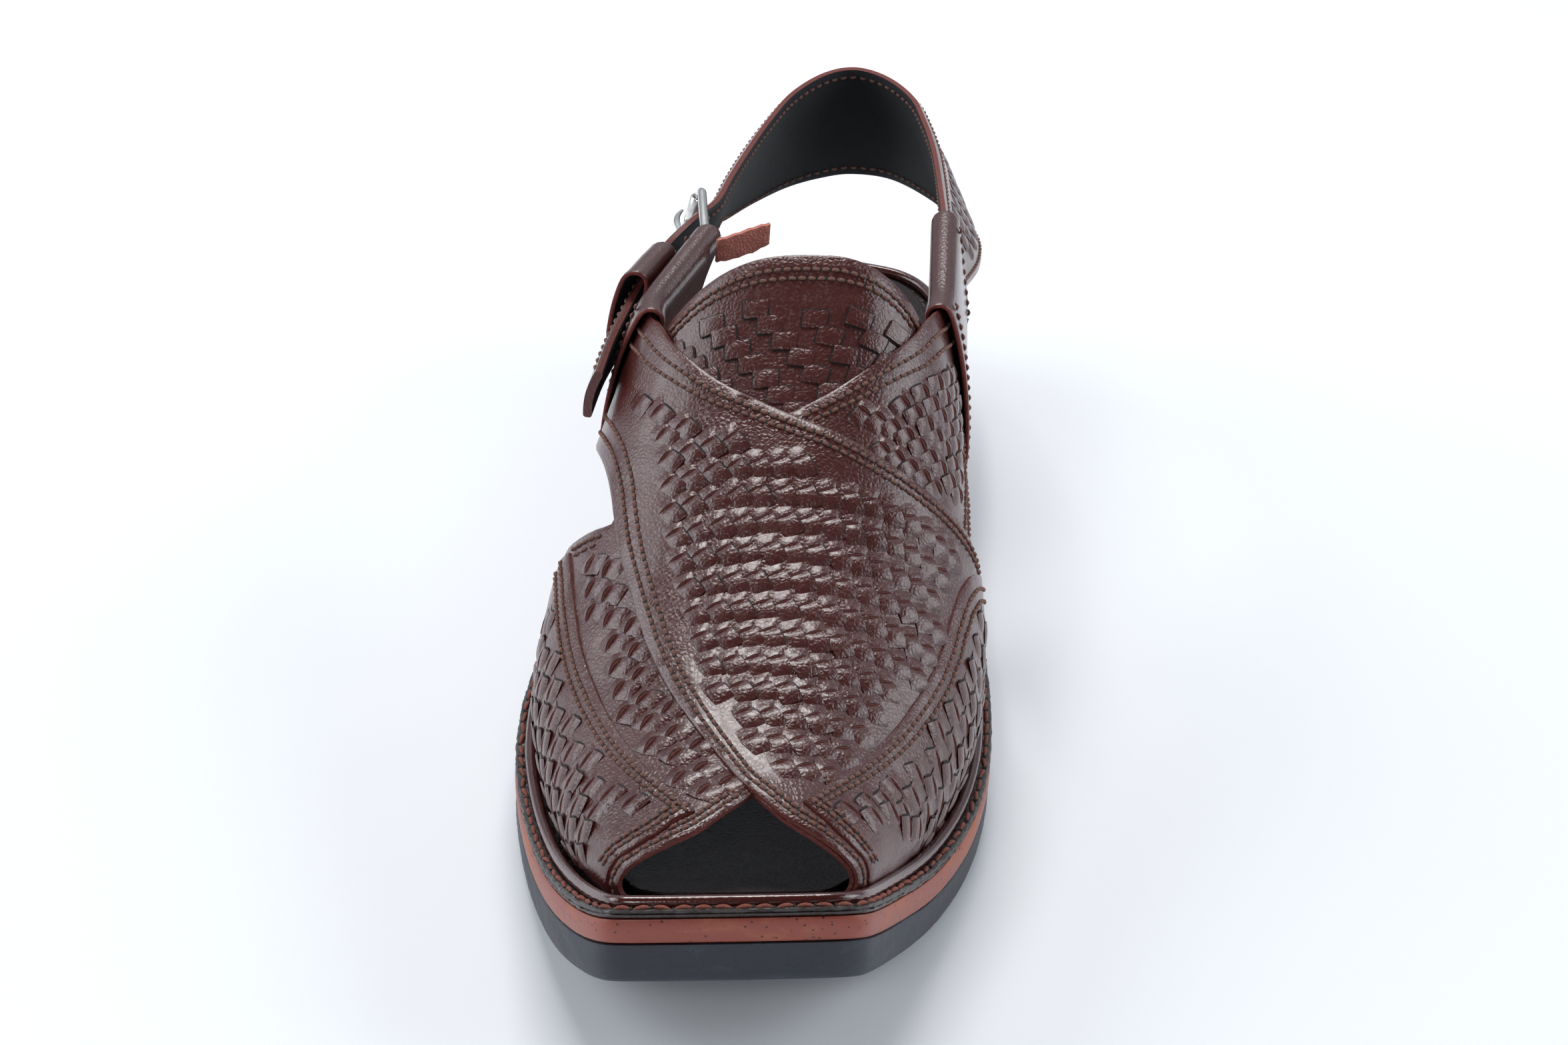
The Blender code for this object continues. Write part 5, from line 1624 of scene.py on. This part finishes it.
# past the buckle the strap's end lies clear of the sleeve's outer side
END_FROM, END_CLEAR = 16, (3.5, 4.1, 2.8, 2.1)
for row, inward in ((HEEL_TOP, -1.0), (HEEL_LOW, 1.0)):
    for i, clear in enumerate(END_CLEAR, END_FROM):
        x, y, z = row[i]
        row[i] = (min(x, sleeve_out(y, z + inward) - clear), y, z)
    row[20] = (row[19][0] - 1.2, row[20][1], row[20][2])


def heel_mid(t, v):
    """Middle surface of the heel strap; v is 0 at its upper edge, 1 below."""
    a, b = catmull(HEEL_TOP, t), catmull(HEEL_LOW, t)
    p = a.lerp(b, v)
    back = math.exp(-((t - 8.0) / 3.2)**2)
    p = p + Vector((0, 1, 0)) * (math.sin(math.pi * v) * 2.2 * back)
    p.x -= 0.9 * math.sin(math.pi * v) * smooth((t - 15.0) / 1.5)
    return p


def heel_across(t, v):
    """Directions along the strap and across it."""
    e = 0.05
    du = heel_mid(min(20, t + e), v) - heel_mid(max(0, t - e), v)
    return du, heel_mid(t, min(1, v + e)) - heel_mid(t, max(0, v - e))


def heel_point(t, v, off):
    """A point at a distance off the strap's middle surface."""
    du, dv = heel_across(t, v)
    return heel_mid(t, v) + du.cross(dv).normalized() * off


HEEL_SIGN = 1.0 if (heel_point(8, 0.5, 1.0) - heel_mid(8, 0.5)).y > 0 else -1.0
HEEL_HALF = 1.05
# the strap's cross section: share of its height, share of half its thickness
HEEL_PROFILE = [(0.0, 0.55), (0.03, 0.95), (0.09, 1.0), (0.2, 1.0), (0.32, 1.0), (0.44, 1.0), (0.56, 1.0),
                (0.68, 1.0), (0.8, 1.0), (0.91, 1.0), (0.97, 0.95), (1.0, 0.55)]


def heel_strap():
    """The long strap: leather outside, black lining inside, raw red edges."""
    ts = [i * 0.125 for i in range(161)]
    loop = HEEL_PROFILE + [(v, -h) for v, h in HEEL_PROFILE[::-1]]
    k, one_side = len(loop), len(HEEL_PROFILE)
    verts = [heel_point(t, v, HEEL_SIGN * HEEL_HALF * h) for t in ts for v, h in loop]
    faces, raw, lining = [], [], []
    for i in range(len(ts) - 1):
        for j in range(k):
            a, b = i * k + j, i * k + (j + 1) % k
            faces.append((a, b, b + k, a + k))
            raw.append(0.85 if j in (one_side - 1, k - 1) else 0.0)
            lining.append(1.0 if one_side <= j < k - 1 else 0.0)
    for base in (0, (len(ts) - 1) * k):
        for j in range(one_side - 1):
            faces.append((base + j, base + j + 1, base + k - 2 - j, base + k - 1 - j))
            raw.append(0.4)
            lining.append(0.0)
    ob = new_piece("heel_strap_fine", verts, faces, PLAIN, {"raw": raw, "lining": lining})
    outward(ob)
    shade(ob, 40)
    return ob


strap = heel_strap()
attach(strap, "root")
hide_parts("heel_strap")


def heel_face(t, v, side=1.0):
    """Point, direction across and normal on the strap's outer (1) or inner (-1) face."""
    du = heel_mid(min(20, t + 0.05), v) - heel_mid(max(0, t - 0.05), v)
    dv = heel_mid(t, v + 0.02) - heel_mid(t, v - 0.02)
    c = heel_point(t, v, HEEL_SIGN * HEEL_HALF * side)
    return c, dv.normalized(), du.cross(dv).normalized() * HEEL_SIGN * side


def heel_width(t):
    """Height of the strap at a station."""
    return (catmull(HEEL_LOW, t) - catmull(HEEL_TOP, t)).length


# plain margin above and below the weave, height of a row, and size of a crossing there
MARGIN, ROW, HEEL_CELL = 6.5, 6.0, (0.95, 0.72, 0.9)


def heel_spots():
    """Crossings in staggered columns round the back of the strap."""
    out = []
    for i in range(48):
        t = 2.6 + i * 0.215
        wide = heel_width(t)
        rows = max(2, int((wide - 2 * MARGIN) / ROW))
        for j in range(rows):
            v = (MARGIN + (wide - 2 * MARGIN) * (j + 0.5 * (i % 2) + 0.25) / rows) / wide
            if v <= 1 - ROW / wide:
                out.append((*heel_face(t, v), HEEL_CELL))
    return out


heel_weave = run_tree("weave_heel", point_carrier("heel_points", heel_spots()), ON_POINTS, cell_plain, PLAIN,
                      seed=31, jitter=0.1)
print("heel crossings' faces:", len(heel_weave.data.polygons))


HEEL_SEAM_IN, SEAM_FROM, SEAM_END, LINING_SEAM_END = 2.1, 0.9, 19.7, 14.6


def heel_seam(from_top, t1, side=1.0):
    """A row of stitches along one edge of the strap."""
    path = []
    for i in range(int((t1 - SEAM_FROM) * 14) + 1):
        t = SEAM_FROM + i / 14
        v = HEEL_SEAM_IN / heel_width(t)
        c, _, n = heel_face(t, v if from_top else 1 - v, side)
        path.append((c, n))
    return path


side_seams = [heel_seam(True, SEAM_END), heel_seam(False, SEAM_END),
              heel_seam(True, LINING_SEAM_END, -1.0), heel_seam(False, LINING_SEAM_END, -1.0),
              sleeve_seam(-1, 0.10), sleeve_seam(1, 0.10), sleeve_seam(-1, 0.9), sleeve_seam(1, 0.9)]
side_stitches = run_tree("stitches_strap", path_carrier("seams_strap", side_seams), ON_PATHS, dash_fine,
                         THREAD, pitch=2.7 * MM, seed=5, jitter=0.1)
print("heel strap faces:", len(strap.data.polygons))

# %% [markdown]
# ## Keeper, buckle and tab
# The buckle is bent wire with a thin tube that turns on its far bar, so the strap slides through without
# rubbing. Wire is a circle swept along a path; the tube is open, as the real one is rolled from sheet.

# %% Keeper loop
# the keeper's band around the strap: how far outside the sleeve, and height
KEEPER = [(1.15, 72), (1.15, 76), (1.15, 80), (1.15, 84), (1.15, 88), (1.9, 90.6), (4.2, 91.5), (6.6, 90.6),
          (7.7, 88), (7.9, 84), (7.9, 80), (7.7, 76), (7.4, 73), (6.3, 70.4), (4.0, 69.6), (1.9, 70.1)]
KEEPER_WALL = 1.2


def keeper_loop(y, grow):
    """The keeper's outline at y; grow moves it towards the strap."""
    c = [Vector((sleeve_out(y, min(88.0, max(73.0, z))) - u, y, z)) for u, z in KEEPER]
    out = []
    for i, p in enumerate(c):
        t = (c[(i + 1) % len(c)] - c[i - 1]).normalized()
        out.append(p + Vector((-t.z, 0, t.x)) * grow)
    return out


KEEPER_YS = [22.0, 22.4, 25.0, 28.5, 32.0, 35.0, 37.1, 37.5]
keeper_loops = [[keeper_loop(y, grow) for y in KEEPER_YS] for grow in (-KEEPER_WALL / 2, KEEPER_WALL / 2)]
keeper = tube_wall("keeper_fine", *keeper_loops, PLAIN, rim=0.2)
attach(keeper, "root")
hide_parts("keeper")

# %% Buckle
ROLL_TOP, ROLL_LOW = Vector((-30.4, 61.0, 94.0)), Vector((-34.6, 61.0, 76.6))
BAR_TOP, BAR_LOW = Vector((-27.3, 39.5, 91.8)), Vector((-31.7, 39.5, 74.4))
WIRE_R, BEND, PRONG_R = 1.12, 2.4, 0.85
ROLLER_IN, ROLLER_OUT, ROLLER_END, ROUNDING = 1.42, 2.08, 2.5, 0.25


def buckle_path():
    """The wire's closed line, with a bend at each corner."""
    corners = [ROLL_TOP, ROLL_LOW, BAR_LOW, BAR_TOP]
    pts = []
    for i, q in enumerate(corners):
        a = q + (corners[i - 1] - q).normalized() * BEND
        b = q + (corners[(i + 1) % 4] - q).normalized() * BEND
        pts += [a.lerp(q, u / 8).lerp(q.lerp(b, u / 8), u / 8) for u in range(9)]
    return pts


buckle = tube("buckle_wire", buckle_path(), WIRE_R, NICKEL, k=16)


def roller_tube():
    """An open tube on the frame's far bar, with its rims rounded."""
    ax = (ROLL_LOW - ROLL_TOP).normalized()
    a, b = ROLL_TOP + ax * ROLLER_END, ROLL_LOW - ax * ROLLER_END
    side = ax.cross(Vector((0, 1, 0))).normalized()
    up = ax.cross(side)
    rim = [(ROUNDING, ROLLER_IN), (0.0, 1.6), (0.0, 1.9), (ROUNDING, ROLLER_OUT)]
    rings = [(a + ax * d, r) for d, r in rim] + [(b - ax * d, r) for d, r in rim[::-1]]
    verts, faces, k, n = [], [], 32, len(rings)
    for i, (p, r) in enumerate(rings):
        for j in range(k):
            an = 2 * math.pi * j / k
            verts.append(p + side * math.cos(an) * r + up * math.sin(an) * r)
            c, d = ((i + 1) % n) * k + (j + 1) % k, ((i + 1) % n) * k + j
            faces.append((i * k + j, i * k + (j + 1) % k, c, d))
    ob = new_piece("buckle_tube", verts, faces, NICKEL)
    outward(ob)
    shade(ob, 40)
    return ob


roller = roller_tube()
PRONG = [(-29.7, 41.2, 84.0), (-31.4, 46.5, 84.2), (-33.3, 51.5, 84.4), (-35.2, 56.5, 84.7),
         (-36.3, 60.0, 84.9), (-36.3, 63.0, 85.0), (-35.5, 65.6, 85.1)]
prong_line = [catmull(PRONG, i * 6 / 24) for i in range(25)]
prong_r = [PRONG_R - 0.5 * (max(0, i - 16) / 8)**1.3 for i in range(25)]
prong = tube("buckle_tongue", prong_line, prong_r, NICKEL, closed=False, k=14, squash=0.8)
for piece, node in ((buckle, "buckle_frame"), (roller, "buckle_roller"), (prong, "buckle_prong")):
    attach(piece, "root")
    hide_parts(node)

# %% Raw end of the strip that holds the buckle
TAB = [((-24.0, 35.6, 94.2), (-24.4, 36.6, 87.6)), ((-20.0, 37.4, 95.0), (-20.4, 38.0, 88.2)),
       ((-15.6, 39.6, 96.0), (-16.0, 40.0, 89.2)), ((-12.0, 41.2, 96.6), (-12.2, 41.4, 91.0))]


def raw_tab():
    """A short uneven strip of suede, thinner at its edges."""
    verts, faces = [], []
    n, m, half_thick = 13, 7, 0.85
    for side in (-half_thick, half_thick):
        for i in range(n):
            t = i / (n - 1) * (len(TAB) - 1)
            a, b = catmull([p[0] for p in TAB], t), catmull([p[1] for p in TAB], t)
            for j in range(m):
                p = a.lerp(b, j / (m - 1))
                edge = 0.6 if j in (0, m - 1) or i in (0, n - 1) else 1.0
                w = 0.22 * math.sin(i * 1.3) * math.sin(j * 1.7)
                y = p.y - (side * edge + w) * 0.9
                verts.append((p.x + side * 0.45 * edge, y, p.z + 0.15 * math.sin(i * 2.1)))
    for s in (0, 1):
        for i in range(n - 1):
            for j in range(m - 1):
                a = s * n * m + i * m + j
                f = (a, a + 1, a + m + 1, a + m)
                faces.append(f if s else f[::-1])
    rim = [(i, 0) for i in range(n)] + [(n - 1, j) for j in range(1, m)]
    rim += [(i, m - 1) for i in range(n - 2, -1, -1)] + [(0, j) for j in range(m - 2, 0, -1)]
    for (i, j), (i2, j2) in zip(rim, rim[1:] + rim[:1]):
        a, b = i * m + j, i2 * m + j2
        faces.append((a, b, b + n * m, a + n * m))
    ob = new_piece("tab_fine", verts, faces, SUEDE)
    outward(ob)
    shade(ob, 50)
    return ob


tab = raw_tab()
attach(tab, "root")
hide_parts("chape_tab")
print("buckle, keeper and tab are made")

# %% [markdown]
# ## Light, floor and camera
# The photograph was taken in a white cube: light comes softly from everywhere, a little more from above and
# behind, so leather shows broad pale gloss. Large area lamps around a white floor give that.

# %% Clear the models that were only copied
for ob in (cell_plain, cell_wide, cell_mirror, cell_low, cell_low_mirror, cell_square,
           dash, dash_fine, dash_welt):
    bpy.data.objects.remove(ob)


# %% Floor and lamps
def studio_floor():
    """A white sheet that lies flat and curves up far behind the shoe."""
    size = 3.0
    prof = [(-size, 0.0), (-1.0, 0.0), (0.6, 0.0), (1.1, 0.0), (1.5, 0.06), (1.8, 0.25), (2.0, 0.6),
            (2.05, 1.6)]
    verts = [(x / MM, y / MM, z / MM - 0.02) for x in (-size, size) for y, z in prof]
    k = len(prof)
    faces = [(i, i + k, i + k + 1, i + 1) for i in range(k - 1)]
    m, _, bsdf = start_material("floor_white")
    bsdf.inputs["Base Color"].default_value = (0.86, 0.89, 0.93, 1.0)
    bsdf.inputs["Roughness"].default_value = 0.55
    ob = new_piece("floor", verts, faces, m)
    shade(ob, 60)
    return ob


floor = studio_floor()
floor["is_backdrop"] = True


def lamp(name, place, aim, size, power, tone):
    """A soft box that points at aim."""
    data = bpy.data.lights.new(name, "AREA")
    data.shape = "RECTANGLE"
    data.size, data.size_y = size
    data.energy = power
    data.color = tone
    ob = bpy.data.objects.new(name, data)
    COLLECTION.objects.link(ob)
    ob.location = place
    ob.rotation_euler = (Vector(aim) - Vector(place)).to_track_quat("-Z", "Y").to_euler()


lamp("lamp_top", (-0.15, 0.55, 1.15), (0.0, 0.0, 0.0), (0.7, 0.3), 10.0, (1.0, 0.985, 0.97))
lamp("lamp_left", (-1.25, 0.05, 0.75), (0.0, 0.0, 0.05), (1.0, 0.9), 9.0, (0.93, 0.96, 1.0))
lamp("lamp_right", (1.25, 0.1, 0.75), (0.0, 0.0, 0.05), (1.0, 0.9), 9.0, (0.93, 0.96, 1.0))
lamp("lamp_front", (-0.35, -1.4, 1.1), (0.0, 0.0, 0.05), (0.5, 0.4), 5.0, (1.0, 1.0, 1.0))


def white_room():
    """White at the sides, behind and below; dim overhead and towards the camera."""
    w = bpy.data.worlds.new("white_room")
    w.use_nodes = True
    t = w.node_tree
    shell = t.nodes["Background"]
    shell.inputs[0].default_value = (0.90, 0.95, 1.0, 1.0)
    look = t.nodes.new("ShaderNodeTexCoord")
    dot = t.nodes.new("ShaderNodeVectorMath")
    dot.operation = "DOT_PRODUCT"
    dot.inputs[1].default_value = Vector((0.0, -0.36, 0.93)).normalized()
    t.links.new(look.outputs["Generated"], dot.inputs[0])
    dim = t.nodes.new("ShaderNodeMapRange")
    dim.interpolation_type = "SMOOTHSTEP"
    dim_range = {"From Min": 0.2, "From Max": 0.72, "To Min": 1.0, "To Max": 0.05}
    for label, value in dim_range.items():
        dim.inputs[label].default_value = value
    path = t.nodes.new("ShaderNodeLightPath")
    t.links.new(dot.outputs["Value"], dim.inputs[0])
    strength = math_node(t, "MAXIMUM", dim.outputs[0], path.outputs["Is Camera Ray"])
    t.links.new(strength, shell.inputs[1])
    return w


bpy.context.scene.world = white_room()
bpy.context.scene.view_settings.view_transform = "Standard"

# %% Camera at the photograph's angle
CAMERA_AT = Vector((0.0354, -0.6629, 0.4860))
LENS_MM, SENSOR_MM = 77.0, 36.0
ROLL = math.radians(2.38)
AIM = Vector((-0.004, 0.006, 0.047))
cam_data = bpy.data.cameras.new("camera")
cam_data.lens, cam_data.sensor_width = LENS_MM, SENSOR_MM
cam_data.shift_y = -0.028
camera = bpy.data.objects.new("camera", cam_data)
COLLECTION.objects.link(camera)
back = (CAMERA_AT - AIM).normalized()
right = Vector((0, 0, 1)).cross(back).normalized()
up = back.cross(right)
rolled_right = right * math.cos(ROLL) + up * math.sin(ROLL)
rolled_up = up * math.cos(ROLL) - right * math.sin(ROLL)
facing = Matrix((rolled_right, rolled_up, back)).transposed().to_4x4()
camera.matrix_world = Matrix.Translation(CAMERA_AT) @ facing
bpy.context.scene.camera = camera
print("camera height above the floor:", round(CAMERA_AT.z, 3))

# %% Sizes
now_box = [list(c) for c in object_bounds()]
grown = [round((n - c) / MM, 2) for now, cad in zip(now_box, cad_box) for n, c in zip(now, cad)]
print("box grew by (mm):", grown)
